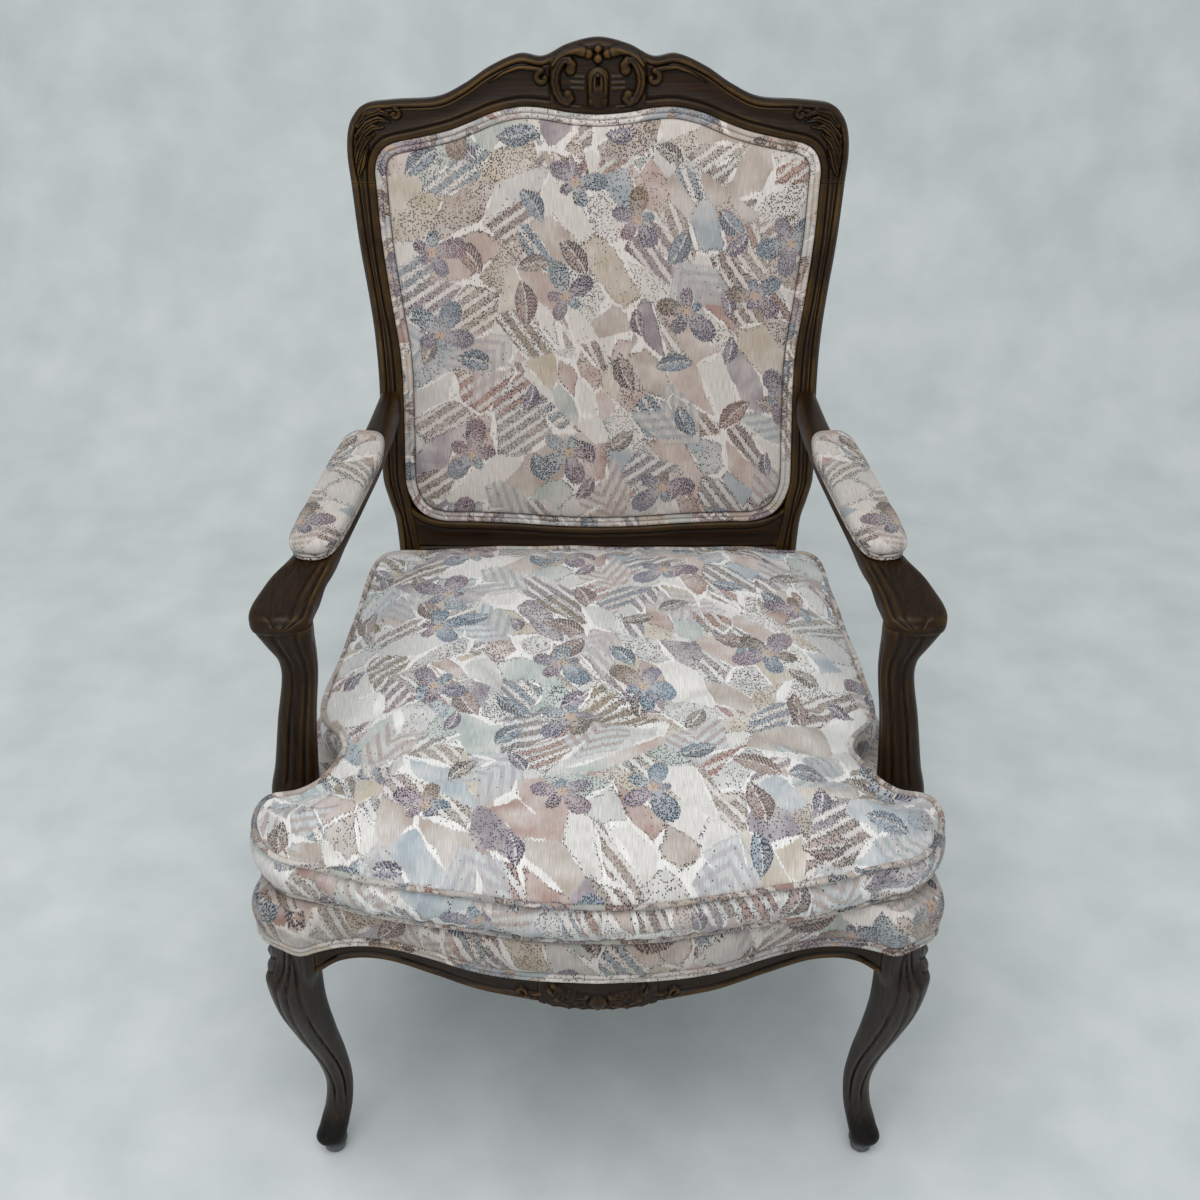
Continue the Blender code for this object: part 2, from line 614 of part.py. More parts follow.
# Arm support above its foot: (share of the way up to the hand, share of the way out from the
# post to the leg's side, behind the foot, half width, half depth)
SUPPORT_SWEEP = (
    (0.0000, 0.8509, 0.000, 0.0210, 0.0200), (0.0909, 0.8634, 0.000, 0.0240, 0.0210),
    (0.2409, 0.8137, 0.002, 0.0215, 0.0170), (0.5136, 0.7267, 0.002, 0.0190, 0.0150),
    (0.7409, 0.6460, 0.003, 0.0175, 0.0145), (0.8864, 0.6149, 0.004, 0.0175, 0.0145),
    (1.0000, 0.6708, 0.004, 0.0215, 0.0160))
SUPPORT = [(SEAT_TOP + share * (HAND_UNDER - SEAT_TOP), between(out), SUPPORT_Y + back, wide, deep)
           for share, out, back, wide, deep in SUPPORT_SWEEP]


def support_rings(low, high, grow):
    """Rings of the arm support between two heights, grown all round for a cutter."""
    rings = []
    for z in spread(low, high, 10):
        x, y, wide, deep = curve_at(SUPPORT, z)
        wide += grow
        deep += grow
        shape = ((-0.6, -1), (0.6, -1), (1, -0.5), (1, 0.6), (0.5, 1), (-0.5, 1), (-1, 0.6), (-1, -0.5))
        rings.append([(x + u * wide, y + v * deep, z) for u, v in shape])
    return rings


def arm_support():
    """Curved support that stands on the side rail and carries the arm."""
    return solid("arm_support_right", [support_rings(SEAT_TOP + FIT, HAND_UNDER - FIT, 0.0)], WOOD)


# Upholstery of the seat


def seat_outline(out):
    """Plan of the seat frame grown outwards, anticlockwise from the rear right post."""
    half = []
    for y in [REAR_RAIL_REAR] + SIDE_STOPS[::-1]:
        half.append((side_x(y) + out * stretch(side_x, y), y))
    half += [(LEG_CORNER[4][0] + out, LEG_CORNER[4][1]),
             (LEG_CORNER[3][0] + out * 0.8, LEG_CORNER[3][1] - out * 0.8),
             (LEG_CORNER[2][0] + out * 0.6, LEG_CORNER[2][1] - out * 0.9),
             (LEG_CORNER[1][0], LEG_CORNER[1][1] - out)]
    for x in FRONT_STOPS[::-1]:
        half.append((x, front_y(x) - out * stretch(front_y, x)))
    half[0] = (half[0][0], REAR_RAIL_REAR + out)
    return [(-x, y) for x, y in half] + [(x, y) for x, y in reversed(half[:-1])]


def post_cutter(name):
    """Room that the deck leaves round a back post."""
    rings = []
    for rise in (-0.08, 0.06):
        rings.append([back_point(x, rise, n) for x, n in
                      ((POST_INNER - POST_ROOM, 0.0006), (POST_HALF + 0.03, 0.0006),
                       (POST_HALF + 0.03, -0.06), (POST_INNER - POST_ROOM, -0.06))])
    return solid(name, [rings], RAW_WOOD)


def flat_ring(outline, z):
    """A plan outline at one height."""
    return [(x, y, z) for x, y in outline]


WEB_LOW = SEAT_TOP + FIT
WEB_HIGH = WEB_LOW + 2 * WEB_THICK - WEB_STITCH
DECK_FOOT = WEB_HIGH + FIT
DECK_TOP = SEAT_TOP + DECK_RISE
DECK_CENTRE = (0.0, LEG_REAR_Y + 0.208)


def seat_deck():
    """Cloth over a thin pad: a tray over the webbing whose skirt wraps the rails."""
    foot = SEAT_TOP - SKIRT_DROP
    inner = seat_outline(FIT)
    outer = seat_outline(SKIRT)
    layers = [flat_ring(shrunk(inner, DECK_CENTRE, 0.5), DECK_FOOT), flat_ring(inner, DECK_FOOT),
              flat_ring(inner, foot), flat_ring(outer, foot), flat_ring(outer, DECK_TOP - 0.008),
              flat_ring(seat_outline(SKIRT - 0.0025), DECK_TOP - 0.0025),
              flat_ring(seat_outline(-0.006), DECK_TOP),
              flat_ring(shrunk(outer, DECK_CENTRE, 0.5), DECK_TOP)]
    deck = solid("seat_deck_pad", [layers], CLOTH)
    for side in (1, -1):
        for tool in (post_cutter("cutter"), solid("cutter", [support_rings(
                SEAT_TOP + FIT - 0.0002, SEAT_TOP + 0.06, 0.0006)], RAW_WOOD)):
            if side == -1:
                flipped = mirrored(tool, "cutter_left")
                bpy.data.objects.remove(tool, do_unlink=True)
                tool = flipped
            combine(deck, tool, "DIFFERENCE")
    return deck


def welt_section(width, thick):
    """Twin-cord welt: (across from its middle, out from its seat)."""
    half = width / 2
    return ((-half, 0.0), (half, 0.0), (half, thick * 0.7), (half * 0.5, thick),
            (0.0, thick * 0.75), (-half * 0.5, thick), (-half, thick * 0.7))


def seat_deck_welt():
    """Twin welt along the skirt's lower edge, from post to post round the front."""
    base = seat_outline(FIT)
    reach = seat_outline(FIT + 0.01)
    middle = SEAT_TOP - SKIRT_DROP - FIT - DECK_WELT_WIDTH / 2
    rings = []
    for (x0, y0), (x1, y1) in zip(base[1:-1], reach[1:-1]):
        out = Vector((x1 - x0, y1 - y0, 0)).normalized()
        rings.append([Vector((x0, y0, middle - across)) + out * away
                      for across, away in welt_section(DECK_WELT_WIDTH, WELT_THICK)])
    return solid("seat_deck_welt", [rings], CLOTH)


def lattice(name, lower, upper):
    """Strips of webbing stitched where they cross: two layers welded into one net."""
    net = solid(name, lower, WEBBING)
    combine(net, solid("strips", upper, WEBBING), "UNION")
    return net


def seat_webbing():
    """Jute strips across the rails' tops, clear of the arm supports."""
    half = WEB_WIDTH / 2
    lower = []
    for x in SEAT_COLUMNS:
        front = max(front_y(x - half), front_y(x + half)) + WEB_MARGIN
        rear = REAR_RAIL_REAR - WEB_MARGIN
        lower.append([[(x - half, y, WEB_LOW), (x + half, y, WEB_LOW),
                       (x + half, y, WEB_LOW + WEB_THICK), (x - half, y, WEB_LOW + WEB_THICK)]
                      for y in (front, rear)])
    upper = []
    low = WEB_LOW + WEB_THICK - WEB_STITCH
    for y in SEAT_ROWS:
        end = min(side_x(y - half), side_x(y + half)) - WEB_MARGIN
        upper.append([[(x, y - half, low), (x, y + half, low),
                       (x, y + half, WEB_HIGH), (x, y - half, WEB_HIGH)] for x in (-end, end)])
    return lattice("seat_webbing", lower, upper)


def dust_cover():
    """Black lining tacked under the rails."""
    low = KNEE_TOP - FIT
    half = [(POST_INNER - 0.004, REAR_RAIL_REAR - 0.006), (POST_INNER - 0.004, BACK_FOOT_Y - 0.018)]
    half += [(side_x(y) - 0.012, y)
             for y in [LEG_REAR_Y + share * SIDE_RUN for share in (0.88, 0.70, 0.46, 0.24, 0.008)]]
    half += [(LEG_INNER_X - 0.006, LEG_REAR_Y + 0.004),
             (LEG_INNER_X - 0.006, front_inner_y(LEG_INNER_X - 0.006) + 0.0015)]
    half += [(x, front_inner_y(x) + 0.0015)
             for x in [share * LEG_INNER_X for share in (0.826, 0.697, 0.569, 0.404, 0.220, 0.0)]]
    full = half + [(-x, y) for x, y in reversed(half[:-1])]
    return solid("dust_cover", [[flat_ring(full, low - 0.0010), flat_ring(full, low)]], LINING)


# Plan of the loose cushion at its welts. Front: (share of the way out to the leg's side,
# behind the front rail's face). Ear and nook: (in from the leg's side, behind the support).
# Flank: (share of the way out from the post to the leg's side, share of the way back).
# Rear: (share of the post's half distance, behind the post's foot).
CUSHION_FRONT = (
    (0.0, -0.008), (0.1711, -0.005), (0.3328, 0.005), (0.4977, 0.016), (0.6563, 0.027),
    (0.8087, 0.044), (0.9238, 0.056))
CUSHION_EAR = (
    (0.0030, -0.132), (-0.0060, -0.101), (0.0010, -0.074), (0.0285, -0.065), (0.0475, -0.047),
    (0.0595, -0.022), (0.0670, 0.004), (0.0595, 0.026), (0.0415, 0.048), (0.0355, 0.076))
CUSHION_FLANK = ((0.5093, 0.498), (0.4099, 0.659), (0.3354, 0.819), (0.2609, 0.950), (0.0870, 0.990))
CUSHION_REAR = ((0.8506, -0.001), (0.7261, 0.004), (0.3734, 0.006), (0.0, 0.006))
CUSHION_PLAN = [(share * SEAT_HALF, back - FRONT_REACH) for share, back in CUSHION_FRONT]
CUSHION_PLAN += [(SEAT_HALF - x, SUPPORT_Y + back) for x, back in CUSHION_EAR]
CUSHION_PLAN += [(between(out), LEG_REAR_Y + share * SIDE_RUN) for out, share in CUSHION_FLANK]
CUSHION_PLAN += [(share * POST_HALF, BACK_FOOT_Y + back) for share, back in CUSHION_REAR]
CUSHION_CENTRE = (0.0, SUPPORT_Y - 0.014)
CUSHION_SWELL = 0.0085    # how far the boxing band bellies out between its welts


def seat_cushion():
    """Loose cushion with ears in front of the arm supports, crowned on top."""
    plan = list(CUSHION_PLAN) + [(-x, y) for x, y in reversed(CUSHION_PLAN[1:-1])]
    foot = DECK_TOP + FIT
    top = foot + CUSHION_SIDE
    base = shrunk(inset(plan, 0.012), CUSHION_CENTRE, 0.5)
    layers = [(base, foot), (inset(plan, 0.012), foot), (inset(plan, -0.001), foot + 0.006),
              (inset(plan, -CUSHION_SWELL), foot + CUSHION_SIDE * 0.45), (plan, top)]
    for share, rise in ((0.965, 0.34), (0.90, 0.64), (0.76, 0.88), (0.45, 1.0)):
        layers.append((shrunk(plan, CUSHION_CENTRE, share), top + CUSHION_CROWN * rise))
    return solid("seat_cushion", [[flat_ring(outline, z) for outline, z in layers]], CLOTH)


# Upholstery of the back

WEB_SEAT = -REBATE_DROP + FIT
PAD_SEAT = WEB_SEAT + 2 * WEB_THICK - WEB_STITCH + FIT
PAD_EDGE = PAD_SEAT + 0.0025
BACK_CENTRE = (0.0, 0.66 * JOINT_RISE)


def back_pad():
    """Tight-filled back pad, its cloth edge tacked into the rebate."""
    lip = inset(OPENING, 0.0006)
    inside = inset(OPENING, WELT_WIDTH + 0.0012)
    layers = ((shrunk(lip, BACK_CENTRE, 0.5), PAD_SEAT), (lip, PAD_SEAT), (lip, PAD_EDGE),
              (inside, PAD_EDGE), (inset(OPENING, 0.017), 0.0035),
              (shrunk(inside, BACK_CENTRE, 0.91), BACK_CROWN * 0.55),
              (shrunk(inside, BACK_CENTRE, 0.74), BACK_CROWN * 0.86),
              (shrunk(inside, BACK_CENTRE, 0.38), BACK_CROWN))
    return back_slab("back_pad", layers, CLOTH)


def back_welt(name, margin, seat, way):
    """Twin welt round the back's opening, front (way 1) or rear (way -1)."""
    outline = inset(OPENING, margin)
    middle = inset(OPENING, margin + 0.01)
    rings = []
    for (x0, s0), (x1, s1) in zip(outline, middle):
        inward = Vector((x1 - x0, s1 - s0)).normalized()
        rings.append([back_point(x0 + inward.x * (WELT_WIDTH / 2 + a),
                                 s0 + inward.y * (WELT_WIDTH / 2 + a), seat + way * n)
                      for a, n in welt_section(WELT_WIDTH, WELT_THICK)])
    return hoop(name, rings, CLOTH)


def back_webbing():
    """Jute strips across the back's rebate."""
    half = WEB_WIDTH / 2
    edge = 0.002
    crest = [(x, rise) for x, rise, _, _ in reversed(CREST_LINES)]
    lower = []
    for x in BACK_COLUMNS:
        rings = []
        for line, way in ((LOWER_RAIL_TOP, 1), (crest[:9], -1)):
            left, right = (curve_at(line, abs(x + u))[0] + way * edge for u in (-half, half))
            rings.append([back_point(x - half, left, WEB_SEAT), back_point(x + half, right, WEB_SEAT),
                          back_point(x + half, right, WEB_SEAT + WEB_THICK),
                          back_point(x - half, left, WEB_SEAT + WEB_THICK)])
        lower.append(rings)
    upper = []
    low = WEB_SEAT + WEB_THICK - WEB_STITCH
    for rise in BACK_ROWS:
        reach = min(post_line(rise - half)[1], post_line(rise + half)[1]) - edge
        upper.append([[back_point(x, rise - half, low), back_point(x, rise + half, low),
                       back_point(x, rise + half, low + WEB_THICK),
                       back_point(x, rise - half, low + WEB_THICK)] for x in (-reach, reach)])
    return lattice("back_webbing", lower, upper)


def outside_back():
    """Cloth on card over the rear of the back."""
    outline = inset(OPENING, 0.001)
    seat = -BACK_DEPTH - FIT
    layers = ((shrunk(outline, BACK_CENTRE, 0.5), seat), (outline, seat),
              (outline, seat - PANEL_THICK), (shrunk(outline, BACK_CENTRE, 0.5), seat - PANEL_THICK))
    return back_slab("outside_back_panel", layers, CLOTH)


# Arm pads


def pad_outline(grow, count=20):
    """Plan of the arm pad, a long rounded form square to the arm's run."""
    middle = (PAD_REAR_Y + PAD_FRONT_Y) / 2
    half_long = (PAD_REAR_Y - PAD_FRONT_Y) / 2
    run = (curve_at(ARM_LINE, PAD_REAR_Y)[0] - curve_at(ARM_LINE, PAD_FRONT_Y)[0]) / (2 * half_long)
    outline = []
    for k in range(count):
        turn = 2 * math.pi * k / count
        c, s = math.cos(turn), math.sin(turn)
        u = math.copysign(abs(c) ** 0.55, c) * (ARM_PAD_HALF + grow)
        v = math.copysign(abs(s) ** 0.40, s) * (half_long + grow)
        outline.append((curve_at(ARM_LINE, middle + v)[0] + u, middle + v - u * run))
    return outline


def arm_pad():
    """Stuffed pad on the arm's top."""
    seat = ARM_TOP + FIT
    body = ARM_PAD_HEIGHT
    layers = ((-0.0205, seat), (-WELT_THICK * 1.3, seat), (-WELT_THICK * 1.3, seat + 0.0075),
              (-0.001, seat + 0.0105),
              (0.0, seat + body * 0.60), (-0.004, seat + body * 0.86), (-0.012, seat + body))
    return solid("arm_pad_right", [[flat_ring(pad_outline(grow), z) for grow, z in layers]], CLOTH)


def arm_pad_welt():
    """Twin welt round the pad's foot."""
    seat = ARM_TOP + FIT
    rings = []
    inner = pad_outline(-WELT_THICK * 1.3 + FIT)
    outer = pad_outline(0.004)
    for (x0, y0), (x1, y1) in zip(inner, outer):
        out = Vector((x1 - x0, y1 - y0)).normalized()
        rings.append([(x0 + out.x * away, y0 + out.y * away, seat + 0.0036 + across)
                      for across, away in welt_section(0.0070, WELT_THICK)])
    return hoop("arm_pad_welt_right", rings, CLOTH)


# Corner blocks, dowels, screws and glides


def front_block():
    """Glued block behind the front leg."""
    g = FIT
    rear = LEG_REAR_Y + BLOCK_LEG
    outline = [(x, front_inner_y(x) + g + BLOCK_SLACK)
               for x in spread(LEG_INNER_X - BLOCK_LEG, LEG_INNER_X - g, 6)]
    outline += [(LEG_INNER_X - g, LEG_REAR_Y + g),
                (side_inner_x(LEG_REAR_Y) - g - BLOCK_SLACK, LEG_REAR_Y + g),
                (side_inner_x(rear) - g - BLOCK_SLACK, rear)]
    low = KNEE_TOP + 0.005
    return solid("corner_block_front_right",
                 [[flat_ring(outline, low), flat_ring(outline, low + BLOCK_HEIGHT)]], RAW_WOOD)


def rear_block():
    """Glued block in front of the back post."""
    g = FIT
    front = BACK_FOOT_Y - 0.0145 - g
    outline = [(side_inner_x(y) - g - BLOCK_SLACK, y) for y in spread(BACK_FOOT_Y - 0.080, front, 4)]
    outline += [(POST_INNER - g, front), (POST_INNER - g, REAR_RAIL_FRONT - g),
                (POST_INNER - BLOCK_LEG, REAR_RAIL_FRONT - g)]
    low = KNEE_TOP + 0.005
    return solid("corner_block_rear_right",
                 [[flat_ring(outline, low), flat_ring(outline, low + BLOCK_HEIGHT)]], RAW_WOOD)


def glide(name, x, y):
    """Grey plastic glide nailed under the foot."""
    turn = [2 * math.pi * k / 16 for k in range(16)]
    layers = ((GLIDE_RADIUS * 0.86, 0.0), (GLIDE_RADIUS, 0.002), (GLIDE_RADIUS, GLIDE_HEIGHT))
    return solid(name, [[[(x + r * math.cos(a), y + r * math.sin(a), z) for a in turn]
                         for r, z in layers]], GLIDE)


# Joints


def tenon(at, way, up, width, grow=0.0):
    """A tenon's rings: from inside its rail, through the joint's face, into the other piece."""
    way, up = way.normalized(), up.normalized()
    side = way.cross(up)
    a, b = TENON_THICK / 2 + grow, width / 2 + grow
    start = at - way * TENON_ROOT
    end = at + way * (TENON_LENGTH + grow * 2)
    return [[point + side * u * a + up * v * b for u, v in ((-1, -1), (1, -1), (1, 1), (-1, 1))]
            for point in (start, end)]


def join(rail, post, at, way, up, width):
    """Weld a tenon to the rail and cut its mortise in the post."""
    combine(rail, solid("tenon", [tenon(at, way, up, width)], RAW_WOOD), "UNION")
    combine(post, solid("mortise", [tenon(at, way, up, width, HOLE_FIT)], RAW_WOOD), "DIFFERENCE")


def screw_rings(head, way, grow=0.0):
    """A wood screw's rings from its head's face; grown, it is its hole and countersink."""
    way = way.normalized()
    across = Vector((0, 0, 1))
    other = way.cross(across)
    turn = [2 * math.pi * k / 8 for k in range(8)]
    start = -0.03 if grow else 0.0
    stops = ((SCREW_HEAD + grow, start), (SCREW_HEAD + grow, SCREW_HEAD_HEIGHT + grow),
             (SCREW_RADIUS + grow, SCREW_HEAD_HEIGHT + grow + 0.0005),
             (SCREW_RADIUS + grow, SCREW_LENGTH - 0.005),
             (SCREW_RADIUS * 0.3 + grow, SCREW_LENGTH + grow))
    return [[head + way * along + (across * math.cos(a) + other * math.sin(a)) * radius
             for a in turn] for radius, along in stops]


# Build

ACROSS, AHEAD, UP = Vector((1, 0, 0)), Vector((0, -1, 0)), Vector((0, 0, 1))
SLOPE = back_point(0, 1) - back_point(0, 0)

crest = crest_rail()
post = back_post()
lower_rail = lower_back_rail()
front_rail = seat_front_rail()
side_rail = seat_side_rail()
rear_rail = seat_rear_rail()
leg = front_leg()
arm_piece = arm()
support = arm_support()
blocks = {"front": front_block(), "rear": rear_block()}

# Seat rails into the posts and the front legs, at half the rails' height
rail_mid = KNEE_TOP + RAIL_HEIGHT / 2
rail_tenon = RAIL_HEIGHT - 0.022
join(side_rail, post, Vector((POST_HALF - 0.0155, post_face_y(rail_mid), rail_mid)), -AHEAD, UP,
     rail_tenon)
join(side_rail, leg, Vector((SEAT_HALF - 0.014, LEG_REAR_Y, rail_mid)), AHEAD, UP, rail_tenon)
# Posts into the crest rail, arm into the post, support into the side rail and the arm
CREST_TENON_X = POST_HALF + 0.016
join(post, crest, back_point(CREST_TENON_X, JOINT_RISE, -BACK_DEPTH / 2), SLOPE, ACROSS, 0.020)
arm_mid = (ARM_UNDER + ARM_TOP) / 2 - 0.004
combine(post, arm_housing("housing"), "DIFFERENCE")
join(arm_piece, post, Vector((POST_HALF - 0.0005, post_face_y(arm_mid), arm_mid)), -AHEAD, UP, 0.014)
join(support, side_rail, Vector((side_x(SUPPORT_Y) - RAIL_THICK / 2, SUPPORT_Y, SEAT_TOP)), -UP,
     AHEAD, 0.022)
top_x, top_y = curve_at(SUPPORT, HAND_UNDER)[:2]
join(support, arm_piece, Vector((top_x, top_y, HAND_UNDER)), UP, AHEAD, 0.014)

# Two screws through each corner block, one into each rail
front_x, front_screw, rear_screw = LEG_INNER_X - 0.0405, LEG_REAR_Y + 0.046, BACK_FOOT_Y - 0.042
screws = {}
for place, head, way, rail in (
        ("front_1", Vector((front_x, front_inner_y(front_x) + 0.024, rail_mid)), AHEAD, front_rail),
        ("front_2", Vector((side_inner_x(front_screw) - 0.025, front_screw, rail_mid)), ACROSS, side_rail),
        ("rear_1", Vector((POST_INNER - 0.0385, REAR_RAIL_FRONT - 0.024, rail_mid)), -AHEAD, rear_rail),
        ("rear_2", Vector((side_inner_x(rear_screw) - 0.029, rear_screw, rail_mid)), ACROSS, side_rail)):
    screws[place] = solid(f"block_screw_{place}_right", [screw_rings(head, way)], STEEL)
    for piece in (blocks[place.split("_")[0]], rail):
        combine(piece, solid("bore", [screw_rings(head, way, HOLE_FIT)], RAW_WOOD), "DIFFERENCE")
    if rail is not side_rail:
        bore = solid("bore", [screw_rings(head, way, HOLE_FIT)], RAW_WOOD)
        combine(rail, mirrored(bore, "bore_left"), "DIFFERENCE")
        bpy.data.objects.remove(bore, do_unlink=True)

# Middle rails, tenoned at both ends
lower_mid = LOWER_RAIL_FOOT + 0.032
post_left = mirrored(post, "back_post_left")
leg_left = mirrored(leg, "front_leg_left")
for side, post_piece, leg_piece in ((1, post, leg), (-1, post_left, leg_left)):
    way = ACROSS * side
    join(rear_rail, post_piece, Vector((POST_INNER * side, REAR_RAIL_FRONT + 0.012, rail_mid)),
         way, UP, rail_tenon)
    join(lower_rail, post_piece, back_point((post_line(lower_mid + 0.003)[1] - REBATE_WIDTH) * side, lower_mid,
         -BACK_DEPTH / 2 - 0.003), way, SLOPE, 0.026)
    join(front_rail, leg_piece, Vector((LEG_INNER_X * side, front_y(LEG_INNER_X) + 0.013, rail_mid)),
         way, UP, rail_tenon)
crest_bore = solid("mortise", [tenon(back_point(-CREST_TENON_X, JOINT_RISE, -BACK_DEPTH / 2), SLOPE,
                                     ACROSS, 0.020, HOLE_FIT)], RAW_WOOD)
combine(crest, crest_bore, "DIFFERENCE")

# The other side
mirrored(side_rail, "seat_side_rail_left")
mirrored(arm_piece, "arm_left")
mirrored(support, "arm_support_left")
for place, block in blocks.items():
    mirrored(block, f"corner_block_{place}_left")
for place, screw in screws.items():
    mirrored(screw, f"block_screw_{place}_left")

seat_webbing()
seat_deck()
seat_deck_welt()
dust_cover()
seat_cushion()
back_webbing()
back_pad()
back_welt("back_pad_welt", 0.0006, PAD_EDGE + FIT, 1)
outside_back()
back_welt("outside_back_welt", 0.002, -BACK_DEPTH - FIT - PANEL_THICK - FIT, -1)

pad_right = arm_pad()
mirrored(pad_right, "arm_pad_left")
pad_welt_right = arm_pad_welt()
mirrored(pad_welt_right, "arm_pad_welt_left")

rear_foot = BACK_FOOT_Y + LEG_SWEEP[0][1] + LEG_SWEEP[0][2] / 2
rear_foot_x = (POST_HALF + LEG_SIDES[0][1] + POST_INNER + LEG_SIDES[0][2]) / 2
glide("glide_front_right", CABRIOLE[0][1], CABRIOLE[0][2])
glide("glide_front_left", -CABRIOLE[0][1], CABRIOLE[0][2])
glide("glide_rear_right", rear_foot_x, rear_foot)
glide("glide_rear_left", -rear_foot_x, rear_foot)

# Stand the chair over the middle of the floor it takes up
pieces = [piece for piece in bpy.data.objects if piece.type == "MESH"]
depths = [vertex.co.y for piece in pieces for vertex in piece.data.vertices]
middle_y = (min(depths) + max(depths)) / 2
for piece in pieces:
    piece.data.transform(Matrix.Translation((0, -middle_y, 0)))
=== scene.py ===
"""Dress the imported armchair: carved and lacquered walnut show-wood, and a printed cotton
that has been sat on for years. Metres, +Z up, the front looks along -Y.
"""
import functools
import math

import bpy
import numpy as np
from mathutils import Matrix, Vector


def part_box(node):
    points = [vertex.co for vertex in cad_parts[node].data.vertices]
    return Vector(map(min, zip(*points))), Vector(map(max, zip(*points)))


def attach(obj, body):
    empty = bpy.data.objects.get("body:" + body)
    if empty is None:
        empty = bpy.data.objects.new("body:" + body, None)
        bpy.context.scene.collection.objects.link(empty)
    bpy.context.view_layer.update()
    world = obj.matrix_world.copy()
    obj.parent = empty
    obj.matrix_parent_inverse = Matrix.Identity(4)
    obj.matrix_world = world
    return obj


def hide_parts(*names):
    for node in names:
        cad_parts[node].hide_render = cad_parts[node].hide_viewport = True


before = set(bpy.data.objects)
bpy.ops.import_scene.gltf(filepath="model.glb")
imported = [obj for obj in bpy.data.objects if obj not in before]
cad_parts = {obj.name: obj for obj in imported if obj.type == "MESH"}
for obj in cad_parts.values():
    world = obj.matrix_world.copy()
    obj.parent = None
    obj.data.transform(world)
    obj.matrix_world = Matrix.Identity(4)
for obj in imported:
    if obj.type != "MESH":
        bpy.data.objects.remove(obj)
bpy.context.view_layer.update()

# Front legs. Each is sawn and carved from one walnut billet: a block that takes the seat
# rails, a knee with a lobed leaf over a thin ankle, and a scroll toe on a grey glide. Three
# incised lines run down from the knee, and the foot is coloured near black.

SEAT_TOP = 0.377
RAIL_HEIGHT = 0.060
FRONT_REACH = 0.358
SEAT_HALF = 0.3215
LEG_INNER_X = 0.2725
LEG_REAR_Y = -0.268
GLIDE_HEIGHT = 0.0142
FIT = 0.0003              # air between two pieces

# Height, centre x and y, radius towards the knee, radius away from it
CABRIOLE = (
    (GLIDE_HEIGHT, 0.2875, -0.2810, 0.0150, 0.0140), (0.024, 0.2885, -0.2825, 0.0185, 0.0150),
    (0.038, 0.2850, -0.2775, 0.0165, 0.0150), (0.060, 0.2795, -0.2695, 0.0148, 0.0142),
    (0.095, 0.2770, -0.2660, 0.0145, 0.0140), (0.140, 0.2805, -0.2715, 0.0175, 0.0150),
    (0.190, 0.2880, -0.2815, 0.0235, 0.0175), (0.240, 0.2950, -0.2905, 0.0290, 0.0210),
    (0.285, 0.2985, -0.2955, 0.0305, 0.0250), (SEAT_TOP - RAIL_HEIGHT, 0.2985, -0.2955, 0.0290, 0.0270))
glide_low, glide_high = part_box("glide_front_right")
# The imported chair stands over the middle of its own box, a little behind these sizes
MIDDLE_Y = (glide_low[1] + glide_high[1]) / 2 - CABRIOLE[0][2]


def smooth(keys, t):
    """Values at t, one or many, of the smooth curve through keys, each (t, value, ...)."""
    keys = np.asarray(keys, float)
    spots, values = keys[:, 0], keys[:, 1:]
    slopes = np.empty_like(values)
    slopes[1:-1] = (values[2:] - values[:-2]) / (spots[2:] - spots[:-2])[:, None]
    slopes[0] = (values[1] - values[0]) / (spots[1] - spots[0])
    slopes[-1] = (values[-1] - values[-2]) / (spots[-1] - spots[-2])
    t = np.clip(np.asarray(t, float), spots[0], spots[-1])
    i = np.clip(np.searchsorted(spots, t, side="right") - 1, 0, len(spots) - 2)
    span = (spots[i + 1] - spots[i])[..., None]
    u = (t[..., None] - spots[i][..., None]) / span
    return (values[i] * (2 * u**3 - 3 * u**2 + 1) + values[i + 1] * (3 * u**2 - 2 * u**3)
            + slopes[i] * span * (u**3 - 2 * u**2 + u) + slopes[i + 1] * span * (u**3 - u**2))


def points_of(piece):
    """A mesh's points as an array."""
    flat = np.empty(len(piece.data.vertices) * 3)
    piece.data.vertices.foreach_get("co", flat)
    return flat.reshape(-1, 3)


def set_points(piece, points):
    """Put a mesh's points in their places."""
    piece.data.vertices.foreach_set("co", points.ravel())
    piece.data.update()


def skin(name, points, cloth=None):
    """A grid primitive whose corners go to the points: rows along a piece, columns round it.

    Where the last column or row is the first again the seam is merged, and open ends are
    filled. cloth gives each corner its place on the flat cloth, in metres.
    """
    points = np.asarray(points, float)
    rows, columns = points.shape[:2]
    bpy.ops.object.select_all(action="DESELECT")
    bpy.ops.mesh.primitive_grid_add(x_subdivisions=columns - 1, y_subdivisions=rows - 1, size=1)
    piece = bpy.context.object
    piece.name = piece.data.name = name
    mesh = piece.data
    start = points_of(piece)
    order = np.lexsort((start[:, 0].round(5), start[:, 1].round(5)))
    placed = np.empty_like(start)
    placed[order] = points.reshape(-1, 3) + (0, MIDDLE_Y, 0)
    set_points(piece, placed)
    if cloth is not None:
        spots = np.empty((len(start), 2))
        spots[order] = np.asarray(cloth, float).reshape(-1, 2)
        corners = np.empty(len(mesh.loops), dtype=np.int32)
        mesh.loops.foreach_get("vertex_index", corners)
        mesh.uv_layers[0].name = "cloth"
        mesh.uv_layers[0].data.foreach_set("uv", spots[corners].ravel())
    bpy.ops.object.mode_set(mode="EDIT")
    bpy.ops.mesh.select_all(action="SELECT")
    bpy.ops.mesh.remove_doubles(threshold=1e-5)
    bpy.ops.mesh.fill_holes(sides=0)
    bpy.ops.mesh.select_all(action="SELECT")
    bpy.ops.mesh.normals_make_consistent(inside=False)
    bpy.ops.object.mode_set(mode="OBJECT")
    return piece


